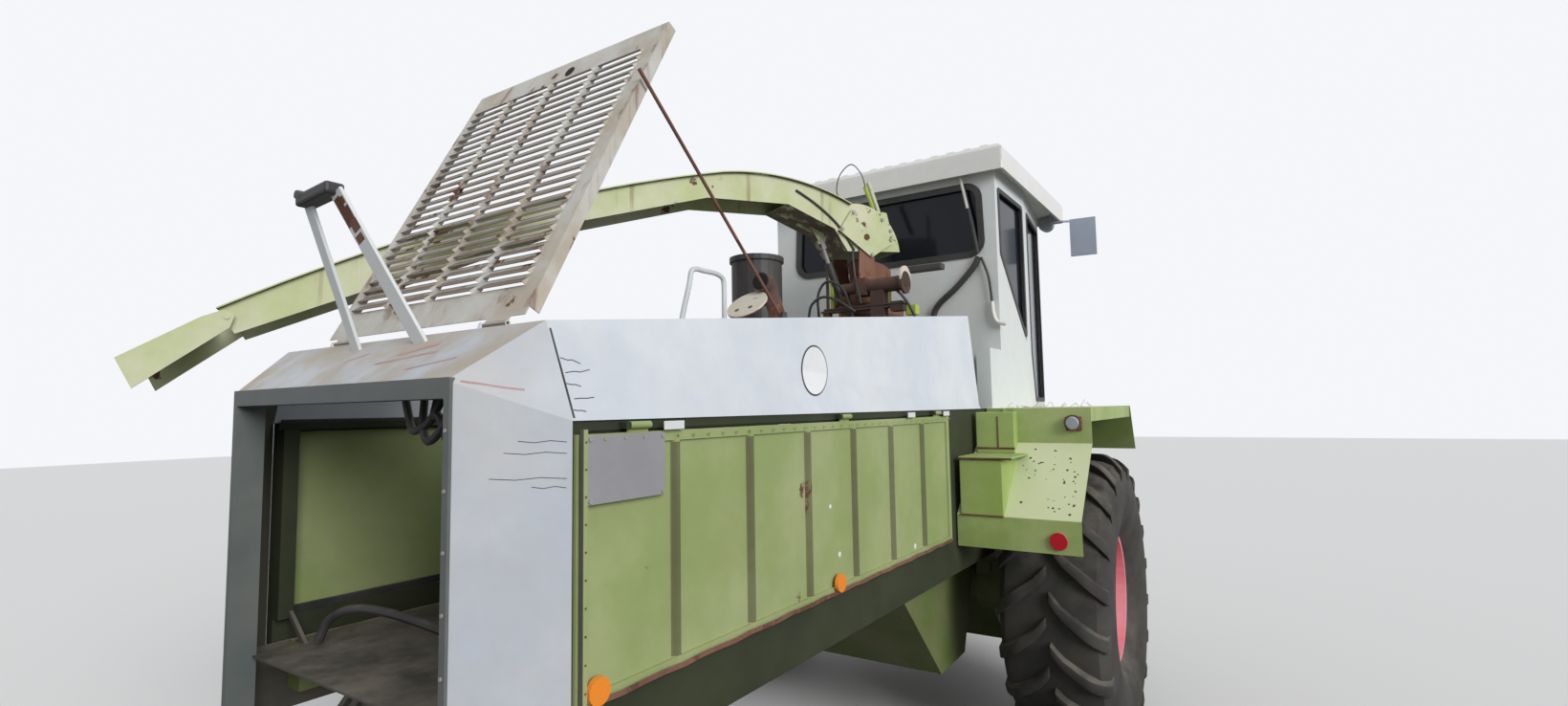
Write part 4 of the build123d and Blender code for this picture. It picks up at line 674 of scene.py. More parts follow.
# Each crack: ahead of the seam, height, length, fall.
CRACKS = ((0.012, 1.99, 0.055, -0.012), (0.015, 1.955, 0.075, 0.010), (0.01, 1.93, 0.04, -0.006),
          (0.02, 1.895, 0.06, 0.004), (0.01, 1.87, 0.035, -0.004))
CRACK_BENDS = ((0.0, 0.0), (0.35, 0.4), (0.6, 0.3), (1.0, 1.0))
bm = bmesh.new()
beside = hood_low.x - 1
seam = [touch("hood_shell", (beside, SEAM_Y - SEAM_WIDTH, z), TO_LEFT) for z in SEAM_HEIGHTS]
ribbon(bm, seam, TO_REAR, SEAM_WIDTH)
for ahead, z, reach, fall in CRACKS:
    spots = [touch("hood_shell", (beside, SEAM_Y - ahead - reach * a, z + fall * b), TO_LEFT)
             for a, b in CRACK_BENDS]
    ribbon(bm, spots, UP, CRACK_WIDTH)
piece("hood_seam_and_cracks", bm, dark_metal, "chassis")

# Rear window. The pane sits in a thick black rubber channel with round corners, and pieces of
# white sheet fill the corners of the opening behind it.


def rounded(outline, radius, steps=6):
    """Corners of an outline turned into arcs, each with the same number of points."""
    points = [Vector(p) for p in outline]
    line = []
    for before, corner, after in zip(points[-1:] + points, points, points[1:] + points[:1]):
        one, two = (before - corner).normalized(), (after - corner).normalized()
        half = one.angle(two) / 2
        reach = radius / math.tan(half)
        centre = corner + (one + two).normalized() * radius / math.sin(half)
        start, end = corner + one * reach - centre, corner + two * reach - centre
        for k in range(steps + 1):
            arm = start.lerp(end, k / steps)
            line.append(centre + arm.normalized() * radius)
    return line


def grown(outline, distance):
    """Convex outline moved outward by a distance."""
    points = [Vector(p) for p in outline]
    centre = sum(points, Vector((0, 0))) / len(points)
    moved = []
    for before, corner, after in zip(points[-1:] + points, points, points[1:] + points[:1]):
        one, two = (before - corner).normalized(), (after - corner).normalized()
        reach = distance / math.sin(one.angle(two) / 2)
        out = -(one + two).normalized()
        moved.append(corner + out * (reach if out.dot(corner - centre) > 0 else -reach))
    return moved


def frame_ring(bm, outer, inner, place, low, high):
    """Ring between two outlines with equal counts: a loop drawn out round the four edges of its section."""
    verts = [bm.verts.new(place(p.x, p.y, low)) for p in outer]
    edges = [bm.edges.new(pair) for pair in zip(verts, verts[1:] + verts[:1])]
    for line, depth in ((outer, high), (inner, high), (inner, low), (outer, low)):
        made = set(bmesh.ops.extrude_edge_only(bm, edges=edges)["geom"])
        verts = [next(e.other_vert(v) for e in v.link_edges if e.other_vert(v) in made) for v in verts]
        edges = [bm.edges.get(pair) for pair in zip(verts, verts[1:] + verts[:1])]
        for v, p in zip(verts, line):
            v.co = place(p.x, p.y, depth)


REAR_WINDOW = ((-0.703, 2.765), (-0.690, 3.205), (0.600, 3.205), (0.620, 2.765))
cab_rear_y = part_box("cab_shell")[1].y


def on_rear_wall(u, v, depth):
    """Place on the cab's rear wall, u from the middle line and v above the ground."""
    return Vector((MIDDLE_X + u, cab_rear_y + depth, v))


bm = bmesh.new()
frame_ring(bm, rounded(grown(REAR_WINDOW, 0.002), 0.001), rounded(grown(REAR_WINDOW, -0.006), 0.085),
           on_rear_wall, -0.012, -0.0015)
piece("rear_window_corners", bm, cab_white, "chassis")
bm = bmesh.new()
frame_ring(bm, rounded(grown(REAR_WINDOW, 0.010), 0.10), rounded(grown(REAR_WINDOW, -0.028), 0.068),
           on_rear_wall, -0.010, 0.007)
piece("rear_window_seal", bm, black_rubber, "chassis")

# Wiper. A bent steel arm in cream paint comes down from its motor's housing above the rear
# window, and holds a rubber blade that is parked at the window's right end.


def pipe(bm, points, radius, sides=10, smooth=6):
    """Round tube drawn smoothly through points: circles bridged one to the next, with closed ends."""
    knots = [Vector(p) for p in points]
    knots = [2 * knots[0] - knots[1]] + knots + [2 * knots[-1] - knots[-2]]
    line = []
    for a, b, c, d in zip(knots, knots[1:], knots[2:], knots[3:]):
        for t in (k / smooth for k in range(smooth)):
            line.append(0.5 * (2 * b + (c - a) * t + (2 * a - 5 * b + 4 * c - d) * t ** 2
                               + (3 * b - a - 3 * c + d) * t ** 3))
    line.append(knots[-2])
    side = (line[1] - line[0]).orthogonal().normalized()
    rings = []
    for i, spot in enumerate(line):
        ahead = (line[min(i + 1, len(line) - 1)] - line[max(i - 1, 0)]).normalized()
        side = (side - ahead * side.dot(ahead)).normalized()
        stand = Matrix((side, ahead.cross(side), ahead)).transposed().to_4x4()
        place = Matrix.Translation(spot) @ stand @ Matrix.Rotation(-math.pi / 2, 4, "Z")
        circle = bmesh.ops.create_circle(bm, segments=sides, radius=radius, matrix=place)
        rings.append(list({e for v in circle["verts"] for e in v.link_edges}))
    for one, two in zip(rings, rings[1:]):
        bmesh.ops.bridge_loops(bm, edges=one + two)
    for end in (rings[0], rings[-1]):
        bmesh.ops.edgeloop_fill(bm, edges=end)


def tubes(name, lines, radius, material, body, sides=8):
    """Piece of one or more round tubes, each drawn through a list of places."""
    bm = bmesh.new()
    for line in lines:
        pipe(bm, [at(*spot) for spot in line], radius, sides)
    return piece(name, bm, material, body)


WIPER_ARM = ((-0.577, 0.222, 3.285), (-0.590, 0.238, 3.22), (-0.622, 0.236, 3.05))
WIPER_BLADE = ((-0.600, 0.226, 3.17), (-0.640, 0.226, 2.97), (-0.672, 0.222, 2.77))
wiper_cream = paint("wiper_cream", (0.60, 0.60, 0.56), (0.44, 0.38, 0.29), rust=0.42, runs=0.7, dust=0.3,
                    patch=4.5)
bm = bmesh.new()
pipe(bm, [at(*spot) for spot in WIPER_ARM], 0.009, 8)
slab(bm, at(-0.577, 0.216, 3.285), (0.05, 0.03, 0.04), 0.006)
piece("wiper_arm", bm, wiper_cream, "chassis")
tubes("wiper_blade", [WIPER_BLADE], 0.011, black_rubber, "chassis")

# Side windows. Both panes on the right are held in black rubber channels. The cab's wall turns
# inward ahead of its post, and the channels follow it.

CAB_SIDE, KINK_Y, TAPER, PANE_TOP = 0.780, -0.440, math.radians(7.2), 3.170
REAR_PANE = ((0.150, PANE_TOP), (0.138, PANE_TOP - 0.400), (KINK_Y + 0.055, 2.275),
             (KINK_Y + 0.055, PANE_TOP))
FRONT_PANE = ((KINK_Y - 0.100, 2.210), (KINK_Y - 0.100, PANE_TOP), (-1.150, PANE_TOP), (-1.150, 1.890),
              (KINK_Y - 0.230, 1.890))


def on_cab_side(y, z, depth):
    """Place on the cab's right wall, which turns inward ahead of its post."""
    past = max(0.0, KINK_Y - y)
    out = -CAB_SIDE - depth
    return at(out + past * math.sin(TAPER), max(y, KINK_Y) - past * math.cos(TAPER), z)


bm = bmesh.new()
for pane in (REAR_PANE, FRONT_PANE):
    frame_ring(bm, rounded(grown(pane, 0.006), 0.030), rounded(grown(pane, -0.022), 0.020), on_cab_side,
               -0.010, 0.005)
piece("side_window_seals", bm, black_rubber, "chassis")

# Fender lamps and reflectors. A round clear lamp stands in a square dark bracket on each
# fender's rear sheet, and a round red plastic reflector is screwed to the skirt.


def button(bm, spot, normal, radius, height, segments=24, top=0.9):
    """Round head that stands on a surface."""
    turn = UP.rotation_difference(normal).to_matrix().to_4x4()
    place = Matrix.Translation(spot) @ turn @ Matrix.Translation((0, 0, height / 2))
    drum(bm, place, radius, height, segments, top)


lamp_glass = plain("lamp_glass", (0.42, 0.47, 0.52), 0.12, {"Metallic": 0.5})
red_plastic = plain("red_reflector", (0.52, 0.010, 0.022), 0.25)
brackets, glasses, reds = bmesh.new(), bmesh.new(), bmesh.new()
for s in (1, -1):
    lamp_spot = at(s * 1.245, 0.600, 1.769)
    slab(brackets, lamp_spot + Vector((0, 0.004, -0.004)), (0.078, 0.008, 0.070), 0.003)
    button(brackets, lamp_spot, TO_REAR, 0.040, 0.040, 32, 1.0)
    button(glasses, lamp_spot + 0.038 * TO_REAR, TO_REAR, 0.034, 0.008, 32, 0.8)
    button(reds, at(s * 1.227, 0.954, 1.240), TO_REAR, 0.040, 0.004, 40, 0.95)
piece("fender_lamp_brackets", brackets, rusty, "chassis")
piece("fender_lamp_glasses", glasses, lamp_glass, "chassis")
piece("red_reflectors", reds, red_plastic, "chassis")

# Side door trim. White steel hinge leaves hold the door's top edge, a row of small rivets runs
# along its top rail, and a dark strip along each pressed rib is painted shadow in its channel.

HINGE_Y, HINGE_Z, HINGE_LEAF = (1.095, 1.51, 3.02), 1.828, (0.004, 0.075, 0.022)
RIVET_Z, RIVET_PITCH, RIVET_INSET = 1.803, 0.0628, 0.02
RIB_PITCH, RIBS, RIB_HALF, RIB_STEPS, SHADOW_LIFT = 0.327, 6, 0.017, 10, 0.0008
RIB_HEIGHTS = (1.248, 1.40, 1.60, 1.785)
bm = bmesh.new()
for y in HINGE_Y:
    slab(bm, at(0, y, HINGE_Z) + (skin - 0.004 - MIDDLE_X) * TO_LEFT, HINGE_LEAF, 0.0015)
piece("door_hinge_leaves", bm, cab_white, "side_door_right")
bm = bmesh.new()
y = door_low.y + RIVET_INSET
while y < door_high.y - RIVET_INSET:
    button(bm, Vector((skin, y, RIVET_Z)), -TO_LEFT, 0.0042, 0.002, 8)
    y += RIVET_PITCH
piece("door_rivets", bm, olive, "side_door_right")
# Painted shadow: a dark strip laid along each rib's channel.
rib_channel_shadow = paint("rib_channel_shadow", (0.115, 0.120, 0.050), (0.17, 0.18, 0.08), rust=0.25, runs=0.5, dust=0.1)
bm = bmesh.new()
for i in range(1, RIBS + 1):
    rows = len(RIB_HEIGHTS) - 1
    for v in bmesh.ops.create_grid(bm, x_segments=RIB_STEPS, y_segments=rows, size=0.5)["verts"]:
        y = door_high.y - i * RIB_PITCH + 2 * RIB_HALF * v.co.x
        z = RIB_HEIGHTS[round((v.co.y + 0.5) * rows)]
        v.co = touch("side_door_right", (skin - 1, y, z), TO_LEFT)[0] - SHADOW_LIFT * TO_LEFT
piece("rib_shadow_lines", bm, rib_channel_shadow, "side_door_right")

# Door fold, seals and edge. The right door's lower fold has rusted through its paint from end
# to end. A rubber strip on the frame closes the gap along each door from inside, and a narrow
# riveted strip stiffens the door's rear edge beside a dark strip on the skin, painted shade of its recess.

FOLD_PITCH, FOLD_PLACES, FOLD_WIDTH, FOLD_WAVE = 0.0715, 32, 0.013, 31
SEAL_X, SEAL_SIZE = 0.727, (0.010, door_high.y - door_low.y - 0.02, 0.042)
EDGE_Z, EDGE_TALL = (door_low.z + door_high.z) / 2, door_high.z - door_low.z - 0.03
EDGE_RIVETS, EDGE_PITCH = 10, 0.06
bm = bmesh.new()
fold = [(Vector((skin - 0.0002, y, door_low.z + 0.008 + 0.002 * math.sin(y * FOLD_WAVE))), -TO_LEFT)
        for y in (door_low.y + 0.02 + k * FOLD_PITCH for k in range(FOLD_PLACES))]
ribbon(bm, fold, UP, FOLD_WIDTH)
piece("door_fold_rust", bm, rusty, "side_door_right")
bm = bmesh.new()
for s in (1, -1):
    for z in (door_low.z - 0.002, door_high.z - 0.005):
        slab(bm, Vector((MIDDLE_X + s * SEAL_X, (door_low.y + door_high.y) / 2, z)), SEAL_SIZE, 0.003)
piece("side_door_seals", bm, black_rubber, "chassis")
bm = bmesh.new()
# Painted shade: a thin dark strip on the skin at the door's rear edge.
slab(bm, Vector((skin - 0.0002, door_high.y - 0.004, EDGE_Z)), (0.002, 0.008, EDGE_TALL), 0.0006)
piece("door_edge_painted_shade", bm, dark_metal, "side_door_right")
bm, heads = bmesh.new(), bmesh.new()
strip_y = door_high.y - 0.014
slab(bm, Vector((skin - 0.001, strip_y, EDGE_Z)), (0.003, 0.012, EDGE_TALL), 0.001)
for k in range(EDGE_RIVETS):
    button(heads, Vector((skin - 0.0022, strip_y, door_low.z + 0.04 + EDGE_PITCH * k)), -TO_LEFT, 0.003,
           0.002, 8)
piece("door_edge_strip", bm, olive, "side_door_right")
piece("door_edge_rivets", heads, rusty, "side_door_right")

# Rear lip. A folded steel lip runs round the rear opening, narrow at the sides and wider at
# the top, with a turned edge that holds a row of small screws.

lip_low, lip_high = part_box("rear_opening_frame")
LIP_SIDE, LIP_TOP, LIP_BOTTOM, LIP_STANDS, LIP_DEEP = 0.022, 0.046, 0.042, 0.008, 0.068
LIP_SCREWS, LIP_PITCH = 7, 0.13


def corners(left, bottom, far, top):
    """Corners of an upright rectangle, in the order that frame rings take them."""
    return [(left, bottom), (left, top), (far, top), (far, bottom)]


lip_grey = paint("lip_grey", (0.095, 0.112, 0.110), (0.13, 0.14, 0.13), rust=0.22, runs=0.6, dust=0.25)
finish(lip_grey, "rear_opening_frame")
bm = bmesh.new()
lip_edge = corners(lip_low.x, lip_low.z, lip_high.x, lip_high.z)
lip_inside = corners(lip_low.x + LIP_SIDE, lip_low.z + LIP_BOTTOM, lip_high.x - LIP_SIDE,
                     lip_high.z - LIP_TOP)
frame_ring(bm, rounded(lip_edge, 0.004, 2), rounded(lip_inside, 0.004, 2),
           lambda u, v, depth: Vector((u, depth, v)), lip_low.y - LIP_DEEP, lip_low.y + LIP_STANDS)
rear_lip = piece("rear_lip", bm, lip_grey, "chassis")
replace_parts(rear_lip, "rear_opening_frame")
bm = bmesh.new()
for k in range(LIP_SCREWS):
    button(bm, Vector((lip_low.x + 0.013, lip_low.y + LIP_STANDS - 0.0002, lip_low.z + 0.12 + LIP_PITCH * k)),
           TO_REAR, 0.005, 0.003, 10)
piece("rear_lip_screws", bm, steel, "chassis")

# Roof rim. The roof is a moulded white cap with a deep rim that hangs below the cab's wall
# head and stands a little proud of its ribs.

roof_low, roof_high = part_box("cab_roof")
RIM_DROP, RIM_RISE, RIM_THICK = 0.052, 0.070, 0.012
rim_edge = corners(roof_low.x, roof_low.y, roof_high.x, roof_high.y)
bm = bmesh.new()
frame_ring(bm, rounded(grown(rim_edge, 0.002), 0.012, 3), rounded(grown(rim_edge, -RIM_THICK), 0.006, 3),
           lambda u, v, depth: Vector((u, v, depth)), roof_low.z - RIM_DROP, roof_low.z + RIM_RISE)
piece("roof_rim", bm, roof_white, "chassis")

# Cab hoses. A wide flat rubber hose and a thin cable are clipped to the cab's rear wall below
# the wiper; the cable ends in a bent white steel pipe at the corner.

WALL_Y = 0.220
FLAT_HOSE = ((-0.675, WALL_Y, 2.750), (-0.640, WALL_Y, 2.690), (-0.533, WALL_Y, 2.581),
             (-0.420, WALL_Y, 2.490), (-0.378, WALL_Y, 2.410), (-0.372, WALL_Y, 2.27))
WALL_CABLE = ((-0.690, WALL_Y, 2.745), (-0.725, WALL_Y, 2.640), (-0.738, WALL_Y, 2.55),
              (-0.744, WALL_Y, 2.473))
BENT_PIPE = ((-0.744, WALL_Y, 2.474), (-0.750, WALL_Y, 2.400), (-0.772, WALL_Y, 2.350),
             (-0.822, WALL_Y, 2.334))
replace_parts(tubes("flat_hose", [FLAT_HOSE], 0.019, black_rubber, "chassis", 10), "hoses")
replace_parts(tubes("wall_cable", [WALL_CABLE], 0.0075, black_rubber, "chassis"), "hoses")
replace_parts(tubes("bent_white_pipe", [BENT_PIPE], 0.012, roof_white, "chassis", 10), "hoses")

# Spout rest. Two flat white steel bars lean rearward from the cowl. The right bar has rusted
# near its top, and a broken black rubber pad lies across both.

# Each bar: foot, head, width. Each patch of rust: share of the height, height, width, aside.
BARS = (((0.140, 3.352, 2.036), (0.127, 3.500, 2.440), 0.042),
        ((-0.187, 3.352, 2.046), (-0.022, 3.500, 2.455), 0.052))
BAR_THICK, RUST_THICK = 0.010, 0.011
WOUNDS = ((0.90, 0.060, 0.030, 0.008), (0.84, 0.050, 0.044, 0.0), (0.78, 0.030, 0.034, -0.008),
          (0.74, 0.030, 0.026, 0.010), (0.70, 0.022, 0.034, 0.002), (0.94, 0.020, 0.018, -0.012))
bars, wound = bmesh.new(), bmesh.new()
for foot, head, wide in BARS:
    foot, head = at(*foot), at(*head)
    lean = UP.rotation_difference(head - foot).to_matrix().to_4x4()
    slab(bars, (foot + head) / 2, (wide, BAR_THICK, (head - foot).length), 0.002, lean)
    if foot.x < MIDDLE_X:
        for share, tall, across, aside in WOUNDS:
            slab(wound, foot.lerp(head, share) + aside * TO_LEFT, (across, RUST_THICK, tall), 0.0004, lean)
rest_bars = piece("spout_rest_bars", bars, cab_white, "chassis")
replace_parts(rest_bars, "spout_rest")
piece("spout_rest_rust", wound, rusty, "chassis")
bm = bmesh.new()
slab(bm, at(0.060, 3.505, 2.458), (0.175, 0.050, 0.034), 0.008, Matrix.Rotation(0.06, 4, "Y"))
slab(bm, at(0.132, 3.508, 2.466), (0.050, 0.046, 0.026), 0.008, Matrix.Rotation(-0.35, 4, "Y"))
rest_pad = piece("spout_rest_pad", bm, black_rubber, "chassis")
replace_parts(rest_pad, "spout_rest")

# Exhaust flap and motor ring. The rain flap has come to lie beside the pipe: a round cream
# steel plate with two holes. The slewing motor ends in a turned ring in the same cream.

FLAP_TILT, FLAP_RADIUS, FLAP_THICK = math.radians(-41), 0.0965, 0.0075
FLAP_HOLE, HOLE_DEEP = 0.011, 0.009
FLAP_HOLES = ((0.03, 0.045), (-0.035, 0.03))
RING_RADIUS, RING_LONG = 0.0635, 0.012
cream = paint("cream_paint", (0.66, 0.60, 0.47), (0.72, 0.68, 0.58), rust=0.12, runs=0.2, dust=0.2)
flap_spot = Matrix.Translation(at(-0.145, 1.846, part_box("exhaust_stub")[0].z + 0.077))
flap_turn = flap_spot @ Matrix.Rotation(FLAP_TILT, 4, "X")
bm, holes = bmesh.new(), bmesh.new()
drum(bm, flap_turn, FLAP_RADIUS, FLAP_THICK)
# The two holes are dark drums on the plate, not cut through: painted shade.
for u, v in FLAP_HOLES:
    drum(holes, flap_turn @ Matrix.Translation((u, v, 0)), FLAP_HOLE, HOLE_DEEP)
piece("exhaust_flap_face", bm, cream, "chassis")
piece("exhaust_flap_holes", holes, dark_metal, "chassis")
bm = bmesh.new()
ring_turn = Matrix.Rotation(math.pi / 2, 4, "Y")
drum(bm, Matrix.Translation(at(-0.449, 0.80, 2.568)) @ ring_turn, RING_RADIUS, RING_LONG)
piece("slew_motor_ring", bm, cream, "chassis")

# Elbow bolts. The spout's elbow carries a thick steel cheek on each side, held by hexagon
# screws with worn heads.

SPOUT_SWING, PIVOT = math.radians(27), (-0.100, 0.520)
CHEEK_BOLTS = ((-0.045, 2.850), (-0.045, 2.905), (0.015, 2.965), (0.220, 2.985), (0.300, 2.880),
               (0.095, 2.750))
BOLT_RADIUS, BOLT_TALL = 0.012, 0.008


def on_spout(r, z, w):
    """Place along the spout, r from the turret's axis and w to its left."""
    return at(PIVOT[0] + r * math.sin(SPOUT_SWING) + w * math.cos(SPOUT_SWING),
              PIVOT[1] + r * math.cos(SPOUT_SWING) - w * math.sin(SPOUT_SWING), z)


bm = bmesh.new()
for r, z in CHEEK_BOLTS:
    start = on_spout(r, z, -0.6)
    spot, normal = touch("spout", start, on_spout(r, z, 0) - start)
    button(bm, spot, normal, BOLT_RADIUS, BOLT_TALL, 6, 0.95)
piece("cheek_bolts", bm, steel, "spout")

# Turret trimmings. Yellow-green posts and a block of painted steel carry the worm motor, and a
# dark plate lies under it. Short rubber hoses loop from the motor down to the deck.

POSTS = ((0.034, 0.75, 2.55, (0.020, 0.020, 0.245)), (-0.310, 0.76, 2.495, (0.045, 0.02, 0.085)),
         (-0.463, 0.745, 2.392, (0.062, 0.05, 0.055)))
LOOPS = (((0.10, 0.80, 2.39), (0.085, 0.83, 2.52), (0.02, 0.84, 2.590), (-0.07, 0.83, 2.55),
          (-0.11, 0.82, 2.46), (-0.13, 0.81, 2.36)),
         ((0.16, 0.82, 2.38), (0.12, 0.85, 2.46), (0.04, 0.86, 2.50), (-0.06, 0.86, 2.47),
          (-0.16, 0.84, 2.40)),
         ((-0.40, 0.80, 2.50), (-0.45, 0.84, 2.46), (-0.49, 0.84, 2.40), (-0.52, 0.82, 2.32)))
bright_green = paint("bright_green", (0.40, 0.52, 0.05), (0.46, 0.56, 0.12), rust=0.25, runs=0.4, dust=0.2)
bm = bmesh.new()
for x, y, z, size in POSTS:
    slab(bm, at(x, y, z), size, 0.003)
piece("turret_green_posts", bm, bright_green, "chassis")
bm = bmesh.new()
slab(bm, at(-0.20, 0.79, 2.428), (0.50, 0.085, 0.010), 0.002)
slab(bm, at(-0.500, 0.62, 2.640), (0.200, 0.060, 0.034), 0.004)
piece("motor_plate", bm, dark_metal, "chassis")
tubes("motor_hoses", LOOPS, 0.008, black_rubber, "chassis")

# Elbow trimmings. A yellow-green ram stands on the elbow's far side with a thin wire looped
# over it, and a black cable is tied across the elbow and hangs down behind the motor.

RAM = ((-0.052, 0.45, 3.235), (-0.090, 0.45, 3.13), (-0.128, 0.45, 3.03))
WIRE_LOOP = ((-0.060, 0.47, 3.230), (-0.045, 0.50, 3.310), (0.021, 0.50, 3.380), (0.100, 0.50, 3.330),
             (0.128, 0.50, 3.228), (0.090, 0.50, 3.160))
# Where the cable crosses the elbow, as places in the photograph.
CABLE_SEEN = ((832, 199), (852, 213), (872, 231), (884, 247), (893, 262))
CABLE_RADIUS, CABLE_STANDS = 0.006, 0.007
CABLE_END = ((-0.110, 0.755, 2.80), (-0.135, 0.80, 2.70), (-0.170, 0.84, 2.57), (-0.204, 0.85, 2.44))


def sight(u, v):
    """Direction from the camera through a place in the photograph."""
    return forward + right * (u - IMAGE_W / 2) / FOCUS_PX - above * (v - IMAGE_H / 2) / FOCUS_PX


tubes("elbow_ram", [RAM], 0.017, bright_green, "spout", 12)
bm = bmesh.new()
pipe(bm, [at(*spot) for spot in WIRE_LOOP], 0.0035, 6)
across = [touch("spout", EYE, sight(*place)) for place in CABLE_SEEN]
pipe(bm, [spot + normal * CABLE_STANDS for spot, normal in across], CABLE_RADIUS, 8)
piece("elbow_wires", bm, black_rubber, "spout")
tubes("hanging_cable", [CABLE_END], CABLE_RADIUS, black_rubber, "chassis")

# Exhaust mouth. The steel pipe ends in a short bend that looks to the rear, burnt and rusted
# outside and black with soot inside; a flat black disc closes its mouth, soot and painted shade.

MOUTH, MOUTH_BEHIND, MOUTH_RADIUS = (-0.186, 1.800, 2.436), (-0.180, 1.762, 2.432), 0.037
BEND_LINE = ((-0.170, 1.690, 2.350), (-0.174, 1.725, 2.425), MOUTH)
exhaust_bend = tubes("exhaust_bend", [BEND_LINE], 0.043, dark_rust, "chassis", 24)
smooth_by_angle(exhaust_bend)
# Soot, and painted shade inside the pipe's mouth and the lid's hole.
soot_and_shade = plain("soot_and_shade", (0.004, 0.004, 0.004), 0.95)
bm = bmesh.new()
looks = (at(*MOUTH) - at(*MOUTH_BEHIND)).normalized()
button(bm, at(-0.1862, 1.800, 2.436), looks, MOUTH_RADIUS, 0.002, 32, 1.0)
piece("exhaust_mouth", bm, soot_and_shade, "chassis")

# Handrail. One painted steel tube, bent with round corners, is welded upright on the hood's
# left edge.

rail_low, rail_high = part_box("deck_handrail")
RAIL_RADIUS, BEND, HEAD_AHEAD = 0.0145, 0.075, 0.085
rail_x, top_z = (rail_low.x + rail_high.x) / 2, rail_high.z - RAIL_RADIUS
foot_y, end_y = rail_high.y - RAIL_RADIUS, rail_low.y + RAIL_RADIUS
head_y = foot_y - HEAD_AHEAD
foot_z, end_z = (touch("hood_shell", (rail_x, y, 4), -UP)[0].z for y in (foot_y, end_y))
rail_line = ((foot_y, foot_z), (foot_y - 0.01, foot_z + 0.1), (head_y + 0.015, top_z - BEND * 1.3),
             (head_y - 0.005, top_z - 0.02), (head_y - BEND * 0.6, top_z), (head_y - BEND * 1.5, top_z),
             (end_y + BEND, top_z), (end_y + 0.012, top_z - 0.02), (end_y, top_z - BEND),
             (end_y, (top_z + end_z) / 2), (end_y, end_z))
bm = bmesh.new()
pipe(bm, [Vector((rail_x, y, z)) for y, z in rail_line], RAIL_RADIUS, 14)
handrail = piece("bent_handrail", bm, cab_white, "chassis")
smooth_by_angle(handrail, 50)
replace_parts(handrail, "deck_handrail")

# Fender boxes. A flat sheet steel box with an overhanging edge is welded on each fender's
# sloping sheet, beside the door, with a shallower one above it. Their edges have rusted.

# Each box or rusted edge: place on the left side, size, ease of its edges.
BOXES = (((0.875, 0.775, 1.465), (0.210, 0.345, 0.270), 0.004),
         ((0.900, 0.775, 1.611), (0.262, 0.362, 0.010), 0.003),
         ((0.865, 0.628, 1.722), (0.200, 0.062, 0.212), 0.004))
BOX_EDGES = (((0.900, 0.957, 1.607), (0.262, 0.003, 0.008), 0.0008),
             ((0.875, 0.9485, 1.334), (0.210, 0.002, 0.008), 0.0006),
             ((0.865, 0.6602, 1.640), (0.200, 0.002, 0.010), 0.0006),
             ((0.880, 0.6602, 1.72), (0.008, 0.003, 0.17), 0.0006))


def on_both_sides(table):
    """Boxes of a table, made on the left side and on the right."""
    bm = bmesh.new()
    for s in (1, -1):
        for (x, y, z), size, ease in table:
            slab(bm, at(s * x, y, z), size, ease)
    return bm


box_green = paint("box_green", (0.30, 0.42, 0.10), (0.42, 0.52, 0.20), rust=0.25, runs=0.6, dust=0.25)
piece("fender_boxes", on_both_sides(BOXES), box_green, "chassis")
piece("fender_box_edges", on_both_sides(BOX_EDGES), rusty, "chassis")

# Flecks, straw and droppings. Dark flecks and short bits of straw lie loose on the fenders'
# sheets, and birds have left white spots on the right door.

FLECKS, FLECK_LEAST, FLECK_MOST = 46, 0.0025, 0.0075
STRAWS, STRAW_RADIUS = 26, 0.0012
DROPPINGS = ((2.13, 1.345, 0.010), (2.19, 1.52, 0.008), (1.46, 1.262, 0.012), (2.00, 1.275, 0.008))
scatter = random.Random(7)
bm = bmesh.new()
for s in (1, -1):
    for k in range(FLECKS):
        start = at(s * scatter.uniform(1.01, 1.29), scatter.uniform(0.63, 0.92), 3)
        spot, normal = touch("fender_" + ("left" if s > 0 else "right"), start, -UP)
        button(bm, spot, normal, scatter.uniform(FLECK_LEAST, FLECK_MOST), 0.001, 7, 0.6)
piece("fender_flecks", bm, dark_rust, "chassis")
straw_tan = paint("straw", (0.30, 0.22, 0.10), (0.40, 0.31, 0.17), rust=0.0, runs=0.0, dust=0.1, rough=0.9)
bm = bmesh.new()
for k in range(STRAWS):
    start = at(-scatter.uniform(0.80, 1.30), scatter.uniform(0.20, 0.60), 3)
    spot, normal = touch("fender_right", start, -UP)
    way = Vector((scatter.uniform(-1, 1), scatter.uniform(-1, 1), scatter.uniform(0.0, 0.6))).normalized()
    pipe(bm, [spot + normal * 0.002, spot + normal * 0.004 + way * 0.02, spot + normal * 0.003 + way * 0.045],
         STRAW_RADIUS, 4, 2)
piece("straw_on_fender", bm, straw_tan, "chassis")
bm = bmesh.new()
for y, z, size in DROPPINGS:
    spot, normal = touch("side_door_right", (skin - 1, AXLE_Y + y, z), TO_LEFT)
    button(bm, spot, normal, size, 0.0012, 9, 0.7)
piece("white_droppings", bm, sticker_white, "side_door_right")

# Scrapes and cracks of the cowl. Red paint has rubbed off on the cowl's top and on the edge of
# its slanted corner, and the white paint has cracked across the sheet below.

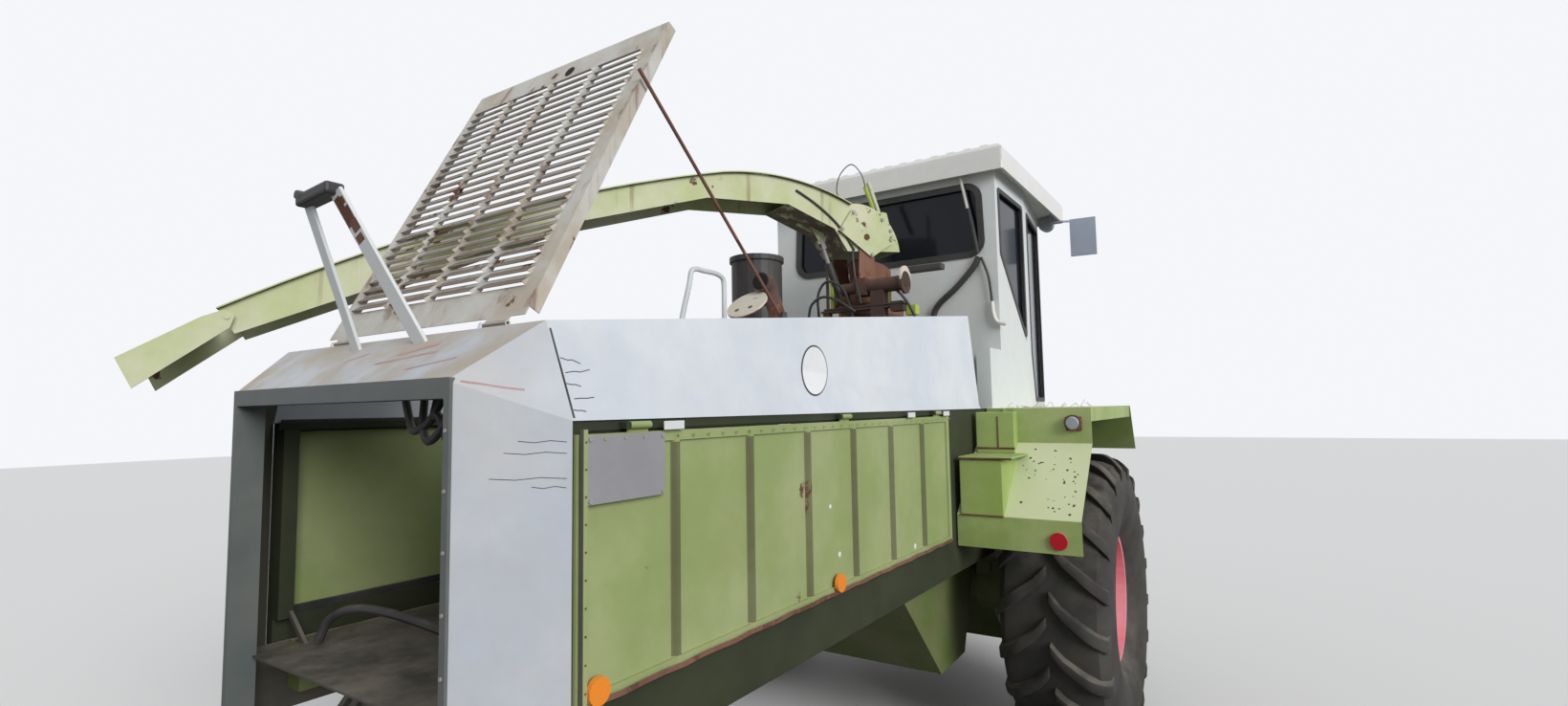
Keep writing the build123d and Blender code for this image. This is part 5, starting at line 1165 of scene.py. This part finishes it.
# Each scrape: from x, to x, y, width. Each crack: height, length.
TOP_SCRAPES = ((-0.10, -0.34, 3.43, 0.010), (-0.16, -0.30, 3.40, 0.016), (-0.30, -0.47, 3.46, 0.007),
               (0.10, 0.02, 3.41, 0.006))
TOP_ACROSS, SCRAPE_DRIFT = Vector((0, 0.79, -0.61)), -0.028
CORNER_LINE = ((3.485, 1.936), (3.455, 1.930), (3.42, 1.921), (3.39, 1.916))
CORNER_CRACKS = ((1.80, 0.07), (1.775, 0.09), (1.72, 0.11), (1.70, 0.05))
scrape_red = paint("scrape_red", (0.46, 0.22, 0.21), (0.56, 0.42, 0.40), rust=0.1, runs=0.2, dust=0.3)
bm = bmesh.new()
for x0, x1, y, width in TOP_SCRAPES:
    shares = [k / 5 for k in range(6)]
    spots = [touch("rear_cowl", at(x0 + (x1 - x0) * share, y + SCRAPE_DRIFT * share, 4), -UP)
             for share in shares]
    ribbon(bm, spots, TOP_ACROSS, width)
piece("cowl_top_scrapes", bm, scrape_red, "chassis")
bm = bmesh.new()
ribbon(bm, [touch("rear_cowl", at(-3, y, z), TO_LEFT) for y, z in CORNER_LINE], UP, 0.005)
piece("cowl_corner_scrape", bm, scrape_red, "chassis")
bm = bmesh.new()
for z, reach in CORNER_CRACKS:
    spots = [touch("rear_cowl", at(-3, 3.335 + reach * k / 3, z + 0.004 * (k % 2)), TO_LEFT)
             for k in range(4)]
    ribbon(bm, spots, UP, 0.0015)
piece("cowl_corner_cracks", bm, dark_rust, "chassis")

# Lid hand hole. A round hole is punched through the lid's upper sheet; a black disc fills it: painted shade.

bm = bmesh.new()
spot, normal = touch("louvred_lid", at(-0.02, 3.60, 3.085), -TO_REAR)
button(bm, spot, normal, 0.022, 0.0015, 28, 1.0)
piece("lid_hand_hole", bm, soot_and_shade, "engine_lid")

# Inside the engine bay. A steel gusset and a bent channel stand on the left sill, a thick rubber
# hose lies over the floor, and loose cables hang behind the opening's upper right corner.

BAY_HOSE = ((0.447, 3.30, 1.175), (0.42, 3.28, 1.24), (0.33, 3.25, 1.275), (0.20, 3.20, 1.265),
            (0.05, 3.10, 1.20))
CABLES = (((-0.200, 3.40, 1.90), (-0.22, 3.40, 1.85), (-0.26, 3.41, 1.825), (-0.31, 3.40, 1.85),
           (-0.33, 3.38, 1.905)),
          ((-0.25, 3.38, 1.905), (-0.28, 3.40, 1.84), (-0.32, 3.41, 1.80), (-0.36, 3.40, 1.83),
           (-0.38, 3.38, 1.90)),
          ((-0.29, 3.37, 1.905), (-0.31, 3.39, 1.86), (-0.35, 3.40, 1.86), (-0.37, 3.39, 1.80),
           (-0.41, 3.38, 1.79)))
bm = bmesh.new()
slab(bm, at(0.652, 3.16, 1.040), (0.006, 0.62, 0.215), 0.001)
slab(bm, at(0.575, 3.30, 1.185), (0.16, 0.012, 0.020), 0.002, Matrix.Rotation(-0.65, 4, "Y"))
slab(bm, at(0.11, 3.20, 1.125), (0.62, 0.045, 0.030), 0.003, Matrix.Rotation(0.10, 4, "Z"))
piece("bay_gusset_and_channel", bm, bay_dirt_and_shade, "chassis")
bm = bmesh.new()
pipe(bm, [at(*spot) for spot in BAY_HOSE], 0.014, 10)
for cable in CABLES:
    pipe(bm, [at(*spot) for spot in cable], 0.010, 8)
piece("bay_hose_and_cables", bm, black_rubber, "chassis")
